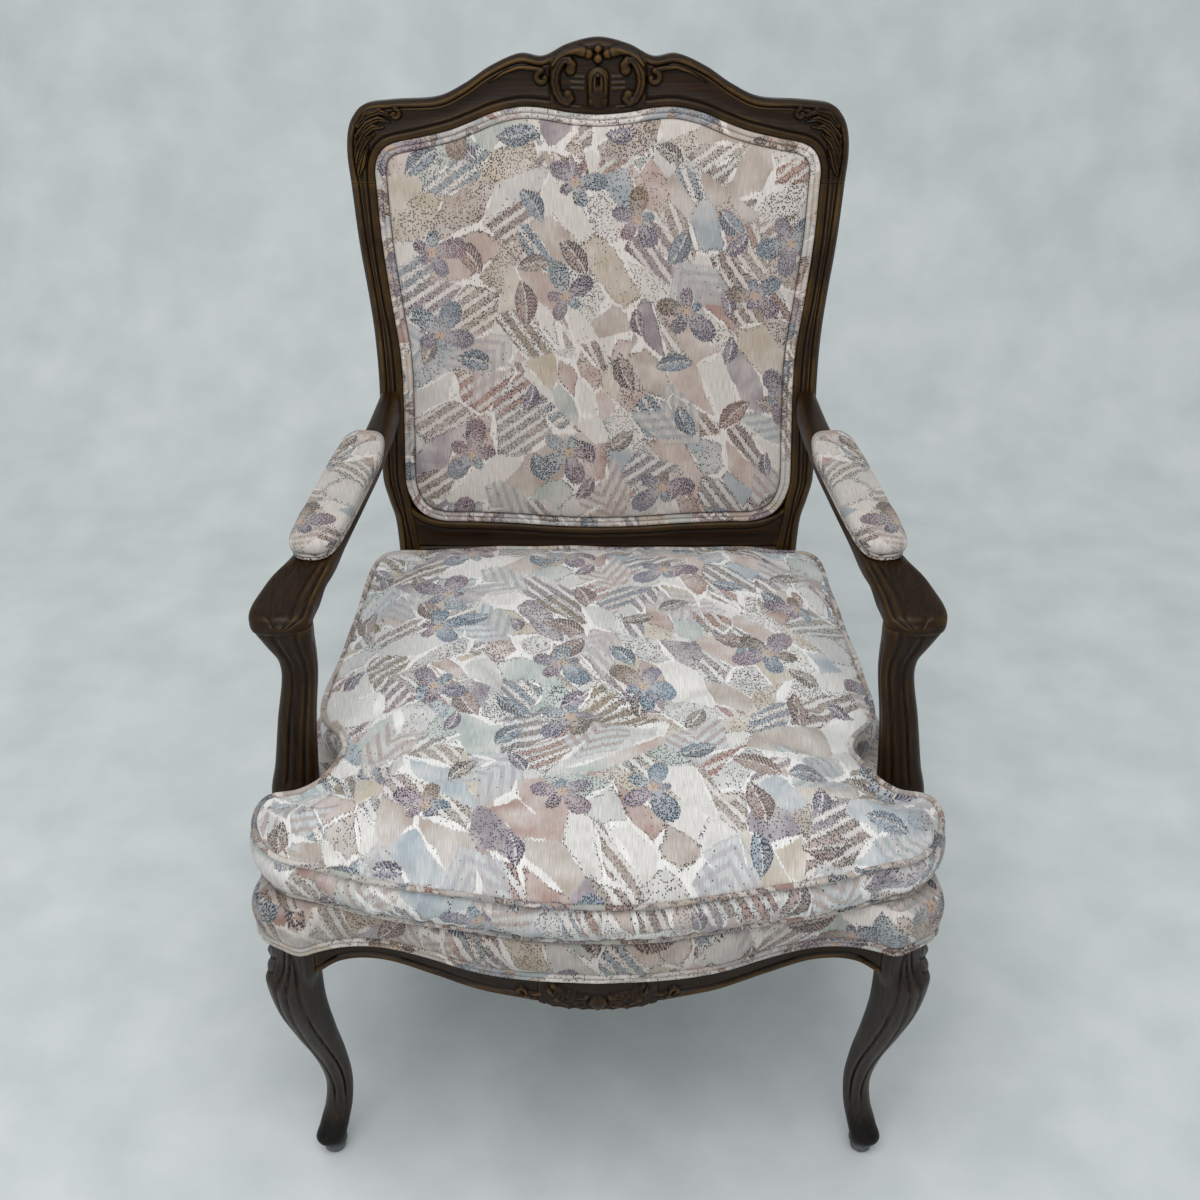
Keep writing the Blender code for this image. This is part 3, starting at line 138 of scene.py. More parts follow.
def mark_edges(piece, radius=0.0022):
    """Store how sharply each point stands out (1) or lies in (-1), for the rubbed wear and painted highlight
    on edges and the darker colour in hollows.
    """
    mesh = piece.data
    places = points_of(piece)
    normals = np.empty(len(mesh.vertices) * 3)
    mesh.vertex_normals.foreach_get("vector", normals)
    normals = normals.reshape(-1, 3)
    pairs = np.empty(len(mesh.edges) * 2, dtype=np.int64)
    mesh.edges.foreach_get("vertices", pairs)
    a, b = pairs.reshape(-1, 2).T
    step = places[b] - places[a]
    length = np.maximum((step ** 2).sum(axis=1), 1e-10)
    bend = np.zeros(len(places))
    count = np.zeros(len(places))
    np.add.at(bend, a, -2 * (step * normals[a]).sum(axis=1) / length)
    np.add.at(bend, b, 2 * (step * normals[b]).sum(axis=1) / length)
    np.add.at(count, a, 1)
    np.add.at(count, b, 1)
    bend = np.clip(bend / np.maximum(count, 1) * radius, -1.5, 1.5)
    for _ in range(2):
        total = bend.copy()
        np.add.at(total, a, bend[b])
        np.add.at(total, b, bend[a])
        bend = total / (count + 1)
    store = mesh.attributes.new("edge", "FLOAT", "POINT")
    store.data.foreach_set("value", np.clip(bend * 2.0, -1, 1))


def linear(code):
    """The linear colour of an sRGB hex code."""
    parts = [int(code[i:i + 2], 16) / 255 for i in (1, 3, 5)]
    return tuple(c / 12.92 if c <= 0.04045 else ((c + 0.055) / 1.055) ** 2.4 for c in parts) + (1.0,)


MODES = {"Mix": "data_type", "TexNoise": "noise_dimensions", "TexVoronoi": "voronoi_dimensions",
         "TexWhiteNoise": "noise_dimensions"}


def add_node(tree, kind, links=(), out=0, **settings):
    """Add a node, set it, and link or fill its inputs; gives one output, or the node.

    A second word in kind is the node's operation, data type or dimensions.
    """
    kind, _, mode = kind.partition(" ")
    node = tree.nodes.new("ShaderNode" + kind)
    if mode:
        setattr(node, MODES.get(kind, "operation"), mode)
    for key, value in settings.items():
        setattr(node, key, value)
    for key, value in (links.items() if isinstance(links, dict) else enumerate(links)):
        if isinstance(value, bpy.types.NodeSocket):
            tree.links.new(value, node.inputs[key])
        elif value is not None:
            node.inputs[key].default_value = value
    return node if out is None else node.outputs[2 if mode == "RGBA" else out]


def new_finish(name, **inputs):
    """A material, its Principled shader with the given plain values, and what adds nodes."""
    finish = bpy.data.materials.new(name)
    finish.use_nodes = True
    shader = finish.node_tree.nodes["Principled BSDF"]
    for key, value in inputs.items():
        shader.inputs[key.replace("_", " ")].default_value = value
    return finish, shader, functools.partial(add_node, finish.node_tree)


def drive(shader, **sockets):
    """Link sockets to the shader's inputs."""
    for key, value in sockets.items():
        shader.id_data.links.new(value, shader.inputs[key.replace("_", " ")])


def toned(add, value, stops, steps="LINEAR"):
    """Colours over a value, from (place, hex code) stops."""
    ramp = add("ValToRGB", (value,), out=None)
    ramp.color_ramp.interpolation = steps
    points = ramp.color_ramp.elements
    while len(points) < len(stops):
        points.new(0.5)
    for point, (place, code) in zip(points, stops):
        point.position = place
    for point, (place, code) in zip(points, stops):
        point.color = linear(code)
    return ramp.outputs["Color"]


# Walnut stain under a semi-gloss lacquer, brown on the flats. The carving's hollows are coloured near black,
# and the edges a golden olive: rubbed wear where hands and cloths pass, and a painted highlight.
WALNUT_TONES = ("#120903", "#241506", "#36210b")
GRAIN_WIDTH = 0.0026      # across the grain, between two dark streaks
GRAIN_LENGTH = 0.085
PORE_WIDTH = 0.0007


def lacquered_walnut(name, grain, tones=WALNUT_TONES, rubbed_and_highlight="#6a4f22", hollow="#060302"):
    """Stained walnut whose grain runs along one axis of the chair, 0, 1 or 2."""
    finish, shader, add = new_finish(name, IOR=1.42, Specular_IOR_Level=0.26)
    place = add("TexCoord", out="Object")
    streak_scale, pore_scale = [1 / GRAIN_WIDTH] * 3, [1 / PORE_WIDTH] * 3
    streak_scale[grain] = 1 / GRAIN_LENGTH
    pore_scale[grain] = 12 / GRAIN_LENGTH
    wander = add("TexNoise", {"Vector": place, "Scale": 9.0, "Detail": 2.0}, out="Color")
    bent = add("VectorMath MULTIPLY_ADD", (wander, (0.006, 0.006, 0.006), place))
    along = add("Mapping", {"Vector": bent, "Scale": streak_scale})
    streaks = add("TexNoise", {"Vector": along, "Scale": 1.0, "Detail": 5.0, "Roughness": 0.62})
    fine = add("Mapping", {"Vector": bent, "Scale": pore_scale})
    pores = add("TexNoise", {"Vector": fine, "Scale": 1.0, "Detail": 3.0})
    ground = toned(add, streaks, ((0.30, tones[0]), (0.52, tones[1]), (0.74, tones[2])))
    patches = add("TexNoise", {"Vector": place, "Scale": 22.0, "Detail": 4.0, "Roughness": 0.6})
    edge = add("Attribute", out="Fac", attribute_name="edge")
    proud = add("MapRange", {"Value": edge, 1: 0.12, 2: 0.85, 4: 0.9})
    uneven = add("MapRange", {"Value": patches, 1: 0.36, 2: 0.64, 3: 0.12, 4: 0.80})
    rub_and_highlight = add("Math MULTIPLY", (proud, uneven))
    sunk = add("MapRange", {"Value": edge, 1: -0.06, 2: -0.55, 4: 0.85})
    # golden olive on the edges is rubbed wear with a painted highlight; hollows are coloured near black
    worn_and_highlit = add("Mix RGBA", {0: rub_and_highlight, 6: ground, 7: linear(rubbed_and_highlight)})
    dusky = add("Mix RGBA", {0: sunk, 6: worn_and_highlit, 7: linear(hollow)})
    gloss = add("MapRange", {"Value": patches, 1: 0.3, 2: 0.7, 3: 0.30, 4: 0.46})
    grainy = add("Bump", {"Strength": 0.35, "Distance": 0.0003, "Height": pores})
    wavy = add("Bump", {"Strength": 0.15, "Distance": 0.0008, "Height": streaks, "Normal": grainy})
    drive(shader, Base_Color=dusky, Roughness=gloss, Normal=wavy)
    return finish


upright_walnut = lacquered_walnut("lacquered_walnut_upright", 2)
leg_walnut = lacquered_walnut("lacquered_walnut_legs", 2, ("#1d1613", "#2b231e", "#382e27"), "#5b4e43")
cross_walnut = lacquered_walnut("lacquered_walnut_cross", 0)
arm_walnut = lacquered_walnut("lacquered_walnut_arms", 1)


def pick(piece):
    """Select one piece alone and make it the active one."""
    bpy.ops.object.select_all(action="DESELECT")
    piece.select_set(True)
    bpy.context.view_layer.objects.active = piece


def cover(piece, finish):
    """Give a piece one material."""
    piece.data.materials.clear()
    piece.data.materials.append(finish)


def stand_for(piece, finish, node):
    """Shade a piece, put it on the chair, and let it replace a CAD solid, if there is one."""
    cover(piece, finish)
    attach(piece, "root")
    if node:
        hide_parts(node)


def finish_wood(piece, finish, node):
    """Shade a carved piece, mark its edges, and let it stand for its CAD solid."""
    pick(piece)
    bpy.ops.object.shade_smooth_by_angle(angle=math.radians(50))
    mark_edges(piece)
    stand_for(piece, finish, node)


def other_side(piece):
    """A mirrored copy of a mesh for the chair's left side."""
    pick(piece)
    bpy.ops.object.duplicate()
    copy = bpy.context.object
    copy.name = copy.data.name = piece.name.replace("right", "left")
    bpy.ops.object.mode_set(mode="EDIT")
    bpy.ops.mesh.select_all(action="SELECT")
    bpy.ops.transform.resize(value=(-1, 1, 1), center_override=(0, 0, 0))
    bpy.ops.mesh.normals_make_consistent(inside=False)
    bpy.ops.object.mode_set(mode="OBJECT")
    return copy


def finish_pair(piece, finish, node):
    """Finish a right-hand carved piece and its mirrored copy; gives both."""
    pair = piece, other_side(piece)
    for one, side in zip(pair, ("right", "left")):
        finish_wood(one, finish, f"{node}_{side}")
    return pair


# Behind the front rail's middle, its face: (x, y)
FRONT_LINE = (
    (0.0, 0.0), (0.060, 0.0035), (0.111, 0.0130), (0.159, 0.0315), (0.196, 0.0435),
    (0.225, 0.0475), (0.250, 0.0455), (LEG_INNER_X, 0.0385))
# In from the front leg's side, the side rail's face: (y, x)
BACK_FOOT_Y = 0.230
SIDE_LINE = (
    (LEG_REAR_Y, 0.0), (-0.150, 0.0035), (-0.040, 0.018), (0.080, 0.0395),
    (0.170, 0.0630), (BACK_FOOT_Y - 0.012, 0.0790), (BACK_FOOT_Y + 0.03, 0.0805))


def front_y(x):
    """Face of the front rail at x."""
    return smooth(FRONT_LINE, np.abs(x))[..., 0] - FRONT_REACH


def side_x(y):
    """Outer face of the side rail at y."""
    return SEAT_HALF - smooth(SIDE_LINE, y)[..., 0]


def ramp(value, start, width):
    """0 up to start, and 1 from a width beyond it; a negative width goes the other way."""
    return np.clip((value - start) / width, 0, 1)


def dip(distance, width):
    """A rounded groove's depth share at distances from its middle."""
    return np.exp(-(distance / width) ** 2)


KNEE = math.radians(-45)
# Incised lines down the leg, as (height, degrees round from its outer side)
LEG_LINES = (
    ((0.070, -60), (0.165, -47), (0.204, -48), (0.255, -52), (0.290, -58), (0.330, -78)),
    ((0.070, -74), (0.120, -68), (0.165, -64), (0.240, -72), (0.290, -79), (0.335, -97)),
    ((0.070, -124), (0.120, -123), (0.162, -114), (0.204, -107), (0.255, -103), (0.335, -103)))
LINE_WIDTH = 0.0013
LINE_DEPTH = 0.0026
LEAF_LOBE = 0.017         # between two lobes of the leaf on the knee
LEG_STEPS = 150
LEG_ROUND = 96
TOE_HEIGHT = 0.026
BLACK_BELOW = 0.060       # the toe's black fades out at this height
BLOCK_FROM = 0.285        # here the round knee begins to square up to the block
LEAF_FROM = 0.283
CARVED_TO = 0.345         # the block is plain above this, under the cloth
LINES_FROM = (0.140, 0.070, 0.070)


def leg_block(angles, z):
    """Ring of the block over the knee, along the faces that the rails and the cloth meet."""
    corner = ((LEG_INNER_X, LEG_REAR_Y), (LEG_INNER_X, float(front_y(LEG_INNER_X))),
              (0.2835, float(front_y(LEG_INNER_X)) - 0.0045), (0.3010, -0.3155), (0.3170, -0.3055),
              (0.3250, -0.2905), (SEAT_HALF, LEG_REAR_Y))
    centre = np.array(CABRIOLE[-1][1:3])
    loop = np.array(corner + corner[:1])
    ring = []
    for angle in angles:
        way = np.array((math.cos(angle), math.sin(angle)))
        best = 1.0
        for p, q in zip(loop[:-1], loop[1:]):
            across = np.array((way[1], -way[0]))
            a, b = (p - centre) @ across, (q - centre) @ across
            if a * b <= 0 and abs(a - b) > 1e-9:
                hit = p + (q - p) * a / (a - b) - centre
                if hit @ way > 0:
                    best = hit @ way
        ring.append((*(centre + way * best), z))
    return ring


turns = np.linspace(-math.pi, math.pi, LEG_ROUND + 1)
heights = np.linspace(GLIDE_HEIGHT + FIT, SEAT_TOP, LEG_STEPS)
rings = []
knee_top = SEAT_TOP - RAIL_HEIGHT - 0.004       # the block is square from here up
for z in heights:
    x, y, out, back = smooth(CABRIOLE, z)
    share = (1 + np.cos(turns - KNEE)) / 2
    radius = back + (out - back) * share ** 1.2
    # the toe's scroll curls out at the front, with a hollow over each side of its eye
    for eye in (-0.9, 0.9):
        radius -= 0.0022 * dip(z - TOE_HEIGHT, 0.013) * dip((turns - KNEE + eye) * 0.015, 0.005)
    ring = np.stack([x + radius * np.cos(turns), y + radius * np.sin(turns), np.full_like(turns, z)],
                    axis=-1)
    blend = ramp(z, BLOCK_FROM, knee_top - BLOCK_FROM)
    blend = blend * blend * (3 - 2 * blend)
    if blend > 0:
        ring = ring * (1 - blend) + np.array(leg_block(turns, z)) * blend
    # three lines cut down the leg, and a lobed leaf over the knee's outer side
    centre = ring[:-1, :2].mean(axis=0)
    far = np.linalg.norm(ring[:, :2] - centre, axis=1)
    cut = np.zeros_like(far)
    for line, low in zip(LEG_LINES, LINES_FROM):
        shown = ramp(z, low, 0.015) * ramp(z, CARVED_TO, -0.008)
        cut += LINE_DEPTH * shown * dip((turns - math.radians(float(smooth(line, z)[0]))) * far, LINE_WIDTH)
    degrees = np.degrees(turns)
    leafy = ramp(z, LEAF_FROM, 0.012) * ramp(degrees, -44, 8) * ramp(degrees, 26, -12)
    lobe = np.abs(np.sin(math.pi * (z / LEAF_LOBE + degrees / 60)))
    cut += leafy * (0.0042 - 0.0040 * lobe ** 0.7)
    ring[:, :2] -= (ring[:, :2] - centre) / far[:, None] * cut[:, None]
    rings.append(ring)
for piece in finish_pair(skin("front_leg_carved_right", rings), leg_walnut, "front_leg"):
    # the toe is coloured near black, as the leaf's hollows are
    height = points_of(piece)[:, 2]
    sunk = np.empty(len(height))
    marks = piece.data.attributes["edge"].data
    marks.foreach_get("value", sunk)
    marks.foreach_set("value", sunk - 0.75 * ramp(height, BLACK_BELOW, -0.020))

# Seat rails. The front rail is bowed and shaped below, with a shell carved over its middle
# and a small scroll where the moulding stops on each side of it. The side rails bow too.
# The rail behind, the corner blocks and their screws stay as they are, in raw beech.

APRON = (
    (0.0, 0.0150), (0.040, 0.0120), (0.065, 0.0040), (0.110, 0.0010), (0.160, -0.0010),
    (0.215, -0.0060), (0.250, -0.0040), (LEG_INNER_X, 0.0060))
RAIL_THICK = 0.026
RAIL_LOW = SEAT_TOP - RAIL_HEIGHT
MOULDING_FOOT = 0.0024    # how far the moulded lower edge stands out
SHELL_HALF = 0.050
SHELL_HEIGHT = 0.0105     # the cabochon's middle above the rail's lowest point
CABOCHON = 0.0092
SHELL_RISE = 0.0050


def stroke(across, up, path, width, height):
    """Height of a rounded carved stroke along a path, at points on a face."""
    path = np.asarray(path, float)
    width = np.broadcast_to(width, len(path)).astype(float)
    best = np.zeros(np.shape(across))
    for (x0, y0), (x1, y1), w0, w1 in zip(path[:-1], path[1:], width[:-1], width[1:]):
        run = (x1 - x0) ** 2 + (y1 - y0) ** 2
        t = np.clip(((across - x0) * (x1 - x0) + (up - y0) * (y1 - y0)) / max(run, 1e-12), 0, 1)
        away = np.hypot(across - x0 - t * (x1 - x0), up - y0 - t * (y1 - y0))
        half = w0 + (w1 - w0) * t
        best = np.maximum(best, np.sqrt(np.clip(1 - (away / half) ** 2, 0, 1)) * height)
    return best


def carve(high, across, up, strokes):
    """A relief with strokes (path, width, height) raised on it; a negative one is cut in."""
    for path, width, height in strokes:
        mark = stroke(across, up, path, width, abs(height))
        high = np.maximum(high, mark) if height > 0 else high - mark
    return high


def scroll(centre, start, end, first, last, count=22):
    """Points of a spiral about a centre, from one radius and angle (degrees) to another."""
    angle = np.radians(np.linspace(start, end, count))
    radius = np.linspace(first, last, count)
    return np.stack([centre[0] + radius * np.cos(angle), centre[1] + radius * np.sin(angle)], axis=-1)


def shell_relief(x, up):
    """Shell on the apron: a cabochon, four curled leaves on each side, and a lobed rim."""
    side = np.abs(x)
    high = np.zeros_like(side)
    ground = np.clip(1 - (side / SHELL_HALF) ** 2 - ((up - SHELL_HEIGHT) / 0.030) ** 2, 0, 1)
    high += 0.0018 * np.clip(ground * 6, 0, 1)
    for rise, reach in ((0.024, 0.043), (0.013, 0.046), (0.002, 0.040), (-0.007, 0.027)):
        leaf = ((0.009, SHELL_HEIGHT + rise * 0.30), (0.020, SHELL_HEIGHT + rise * 0.38 - 0.0015),
                (0.032, SHELL_HEIGHT + rise * 0.55 - 0.002), (reach, SHELL_HEIGHT + rise * 0.80 - 0.001))
        leaf = [(min(px, reach), pz) for px, pz in leaf]
        high = np.maximum(high, 0.0014 + stroke(side, up, leaf, (0.0020, 0.0036, 0.0042, 0.0030), SHELL_RISE
                                                * 0.75) - 0.0016 * stroke(side, up, leaf, 0.0006, 1.0))
        eye = scroll((reach - 0.001, SHELL_HEIGHT + rise * 0.80 + 0.0004), 0, 300, 0.0022, 0.0008, 10)
        high = np.maximum(high, 0.0014 + stroke(side, up, eye, 0.0016, SHELL_RISE * 0.9))
    away = np.hypot(x, up - SHELL_HEIGHT)
    dome = np.sqrt(np.clip(1 - (away / CABOCHON) ** 2, 0, 1))
    high = np.where(away < CABOCHON * 1.25, 0.0008, high)
    high = np.maximum(high, 0.0014 + SHELL_RISE * 0.85 * dome * (away < CABOCHON))
    return high


def rail_skin(name, outer, inner, low, relief=None):
    """A seat rail: plan points of its two faces, and its lower edge at each station."""
    count = 46
    up = np.linspace(0, 1, count) ** 1.5
    rings = []
    for (xo, yo), (xi, yi), edge in zip(outer, inner, low):
        z = edge + up * (SEAT_TOP - edge)
        rise = z - edge
        lip = MOULDING_FOOT * np.clip(1 - np.abs((rise - 0.0026) / 0.0030) ** 4, 0, 1)
        lip -= 0.0014 * dip(rise - 0.0064, 0.0008)
        if relief is not None:
            share, over = relief(xo, rise)
            lip = lip * (1 - share) + over
        away = np.array((xo - xi, yo - yi)) / math.hypot(xo - xi, yo - yi)
        face = np.stack([xo + away[0] * lip, yo + away[1] * lip, z], axis=-1)
        back = [(xi, yi, SEAT_TOP), (xi, yi, edge + 0.003),
                (xi + away[0] * 0.003, yi + away[1] * 0.003, edge),
                (xo - away[0] * 0.002, yo - away[1] * 0.002, edge)]
        rings.append(np.vstack([face, back, face[:1]]))
    return skin(name, rings)


def apron_relief(x, rise):
    """Share of the plain moulding that gives way to carving at x, and the carving itself."""
    x = float(x)
    side = np.full_like(rise, abs(x))
    share = 1 - ramp(abs(x), 0.058, 0.003)
    curl = scroll((0.0735, 0.0085), 210, -60, 0.0062, 0.0014)
    tail = ((0.0660, 0.0060), (0.0600, 0.0085), (0.0540, 0.0130))
    over = carve(0.0, side, rise, ((curl, 0.0024, 0.0036), (tail, (0.0026, 0.0022, 0.0014), 0.0030)))
    if abs(x) < SHELL_HALF * 1.12:
        over = np.maximum(over, shell_relief(np.full_like(rise, x), rise))
    return share, over


end = LEG_INNER_X - FIT
near = np.arange(0.0, 0.084, 0.0009)
stops = np.concatenate([near, np.linspace(0.084, end, 60)])
stops = np.concatenate([-stops[:0:-1], stops])
slope = (front_y(stops + 0.002) - front_y(stops - 0.002)) / 0.004
slope = np.where(np.abs(stops) > end - 0.003, slope[3] * np.sign(stops) * -1, slope)
outer = np.stack([stops, front_y(stops)], axis=-1)
inner = np.stack([stops, front_y(stops) + RAIL_THICK * np.sqrt(1 + slope ** 2)], axis=-1)
# the shell's rim is scalloped along the rail's lower edge
lobes = 0.0016 * np.abs(np.sin(np.clip(np.abs(stops) / SHELL_HALF, 0, 1) * math.pi * 3.5))
low = RAIL_LOW - smooth(APRON, np.abs(stops))[..., 0] + lobes * (np.abs(stops) < SHELL_HALF)
finish_wood(rail_skin("seat_front_rail_carved", outer, inner, low, apron_relief), cross_walnut,
            "seat_front_rail")

ys = np.linspace(LEG_REAR_Y + FIT, BACK_FOOT_Y - 0.0135, 90)
slope = (side_x(ys + 0.002) - side_x(ys - 0.002)) / 0.004
outer = np.stack([side_x(ys), ys], axis=-1)
inner = np.stack([side_x(ys) - RAIL_THICK * np.sqrt(1 + slope ** 2), ys], axis=-1)
side_rail = rail_skin("seat_side_rail_shaped_right", outer, inner, np.full(len(ys), RAIL_LOW))
finish_pair(side_rail, arm_walnut, "seat_side_rail")

# Back frame. Two stiles that run on down as the rear legs, a crest board housed on them and
# a lower rail between them. One moulding runs all round: a bead against the cloth, a hollow
# field, and a rounded outer edge with a fine line inside it. Leaves are carved over the
# shoulders, and a cartouche of scrolls round an arched boss stands over the middle.

RAKE = math.atan(0.209)
BACK_DEPTH = 0.032
REBATE_WIDTH = 0.009
REBATE_DROP = 0.009
JOINT_RISE = 0.500
LOWER_RAIL_FOOT = 0.060
POST_HALF = 0.241
# Rise up the slope, outer edge, edge of the upholstery
POST_LINES = (
    (-0.060, POST_HALF, 0.21265), (0.045, POST_HALF, 0.21265), (LOWER_RAIL_FOOT, POST_HALF, 0.2150),
    (0.104, 0.2445, 0.2219), (0.127, 0.2510, 0.2255), (0.154, 0.2570, 0.2300),
    (0.215, 0.2565, 0.2290), (0.280, 0.2560, 0.2280), (0.329, 0.2580, 0.2310),
    (0.370, 0.2620, 0.2370), (0.434, 0.2700, 0.2440), (JOINT_RISE, 0.2755, 0.2475))
# From the joint to the middle: inner edge (x, rise), outer edge (x, rise)
CREST_LINES = (
    (0.2475, JOINT_RISE, 0.2755, JOINT_RISE), (0.2480, 0.514, 0.2780, 0.530),
    (0.2445, 0.528, 0.2760, 0.555), (0.2370, 0.538, 0.2690, 0.572),
    (0.2250, 0.544, 0.2550, 0.584), (0.2000, 0.549, 0.2230, 0.588),
    (0.1650, 0.557, 0.1780, 0.591), (0.1400, 0.566, 0.1480, 0.604),
    (0.1150, 0.576, 0.1180, 0.623), (0.0860, 0.582, 0.0860, 0.636),
    (0.0600, 0.581, 0.0600, 0.6335), (0.0300, 0.576, 0.0330, 0.646),
    (0.0000, 0.574, 0.0000, 0.653))
# Top edge of the lower rail, as (x, rise)
LOWER_RAIL_TOP = (
    (0.0, 0.0940), (0.050, 0.0955), (0.100, 0.0990), (0.150, 0.1010), (0.185, 0.1020),
    (0.205, 0.1080), (0.218, 0.1190), (0.226, 0.1350))
# Rear leg's face below the seat: (height, behind the post's foot, depth)
LEG_SWEEP = (
    (GLIDE_HEIGHT, 0.084, 0.0275), (0.060, 0.056, 0.029), (0.110, 0.027, 0.031),
    (0.170, 0.0005, 0.0335), (0.240, -0.0145, 0.036), (SEAT_TOP - RAIL_HEIGHT, -0.0125, 0.036),
    (SEAT_TOP, 0.0, 0.034), (SEAT_TOP + 0.10, 0.0209, BACK_DEPTH))
LEG_SIDES = (
    (GLIDE_HEIGHT, 0.0025, 0.0085), (0.110, 0.000, 0.0045), (0.240, 0.0, 0.001),
    (SEAT_TOP - RAIL_HEIGHT, 0.0, 0.0), (SEAT_TOP, 0.0, 0.0))
BEAD_HALF = 0.0043
BEAD_RISE = 0.0027
HOLLOW = 0.0016           # depth of the hollow field between the bead and the edge
EDGE_BAND = 0.0105


def on_back(x, rise, forward=0.0):
    """Points of the leaning back: across, up its slope, and forward of its face."""
    x, rise, forward = np.broadcast_arrays(x, rise, forward)
    return np.stack([x, BACK_FOOT_Y + rise * math.sin(RAKE) - forward * math.cos(RAKE),
                     SEAT_TOP + rise * math.cos(RAKE) + forward * math.sin(RAKE)], axis=-1)


def frame_section(width, depth=BACK_DEPTH, bead=1.0, field=18):
    """The back frame's moulding: (out from the upholstery's edge, forward of the face)."""
    a = np.concatenate([np.linspace(0, 2 * BEAD_HALF, 9), (0.0094, 0.0104),
                        np.linspace(0.0116, width - EDGE_BAND, field)[1:],
                        width - EDGE_BAND + np.linspace(0.0008, EDGE_BAND, 13)])
    n = np.zeros_like(a)
    inside = a <= 2 * BEAD_HALF
    n[inside] = BEAD_RISE * np.sqrt(np.clip(1 - (a[inside] / BEAD_HALF - 1) ** 2, 0, 1))
    n -= 0.0013 * dip(a - 0.0098, 0.0008)
    room = max(width - EDGE_BAND - 0.0116, 1e-4)
    share = np.clip((a - 0.0116) / room, 0, 1)
    n -= HOLLOW * np.sin(math.pi * share) * min(room / 0.02, 1.0) * ~inside
    n -= 0.0010 * dip(a - (width - EDGE_BAND + 0.0008), 0.0007)
    out = np.clip((a - (width - EDGE_BAND + 0.0016)) / (EDGE_BAND - 0.0016), 0, 1)
    n += np.where(out > 0, 0.0015 * np.sin(math.pi * np.minimum(out * 1.25, 1)) - 0.0060 * out ** 3.2, 0)
    n *= bead
    n -= (1 - bead) * 0.005 * out ** 3
    r = 0.006
    hull = [(-REBATE_WIDTH, -depth), (-REBATE_WIDTH, -REBATE_DROP),
            (-REBATE_WIDTH if bead < 0.5 else -0.0002, -REBATE_DROP if bead > 0.5 else -0.001),
            (-0.0002 if bead > 0.5 else -REBATE_WIDTH * 0.8, -0.0006)]
    tail = [(width, -0.012), (width, -depth + r), (width - r * 0.3, -depth + r * 0.3), (width - r, -depth)]
    return np.vstack([hull, np.stack([a, n], axis=-1), tail, hull[:1]])


# Stile and rear leg in one sawn piece: straight above the seat, swept back below
rings = []
for z in np.linspace(GLIDE_HEIGHT + FIT, SEAT_TOP - 0.012, 56):
    back, depth = smooth(LEG_SWEEP, z)
    ahead = (smooth(LEG_SWEEP, z + 0.005)[0] - smooth(LEG_SWEEP, z - 0.005)[0]) / 0.010
    ahead *= ramp(z, 0.0145, 0.02)
    length = math.hypot(1, ahead)
    out_shift, in_shift = smooth(LEG_SIDES, z)
    x_in = POST_LINES[0][2] + in_shift
    section = frame_section(POST_HALF + out_shift - x_in, depth, 0.0)
    rings.append(np.stack([x_in + section[:, 0], BACK_FOOT_Y + back - section[:, 1] / length,
                           z + ahead * section[:, 1] / length], axis=-1))
rises = np.concatenate([np.linspace(0.0, LOWER_RAIL_FOOT, 14), np.linspace(0.064, JOINT_RISE - FIT, 130)])
for rise in rises:
    x_out, x_in = smooth(POST_LINES, rise)
    section = frame_section(x_out - x_in, BACK_DEPTH, float(ramp(rise, 0.052, 0.012)))
    rings.append(on_back(x_in + section[:, 0], rise, section[:, 1]))
finish_pair(skin("back_post_moulded_right", rings), upright_walnut, "back_post")

rings = []
rail_end, skew_from = 0.2170, 0.170
for x in np.linspace(-rail_end, rail_end, 150):
    skew = max(abs(x) - skew_from, 0) / (rail_end - skew_from)
    top = float(smooth(LOWER_RAIL_TOP, abs(x))[0])
    section = frame_section(top - LOWER_RAIL_FOOT, BACK_DEPTH, 1.0)
    rise = top - section[:, 0]
    limit = smooth(POST_LINES, rise)[:, 1] - 0.0006
    rings.append(on_back(x * (1 + skew * (limit / rail_end - 1)), rise, section[:, 1]))
finish_wood(skin("back_lower_rail_moulded", rings), cross_walnut, "back_lower_rail")

CARTOUCHE_HALF = 0.054
SCROLL_RISE = 0.0062


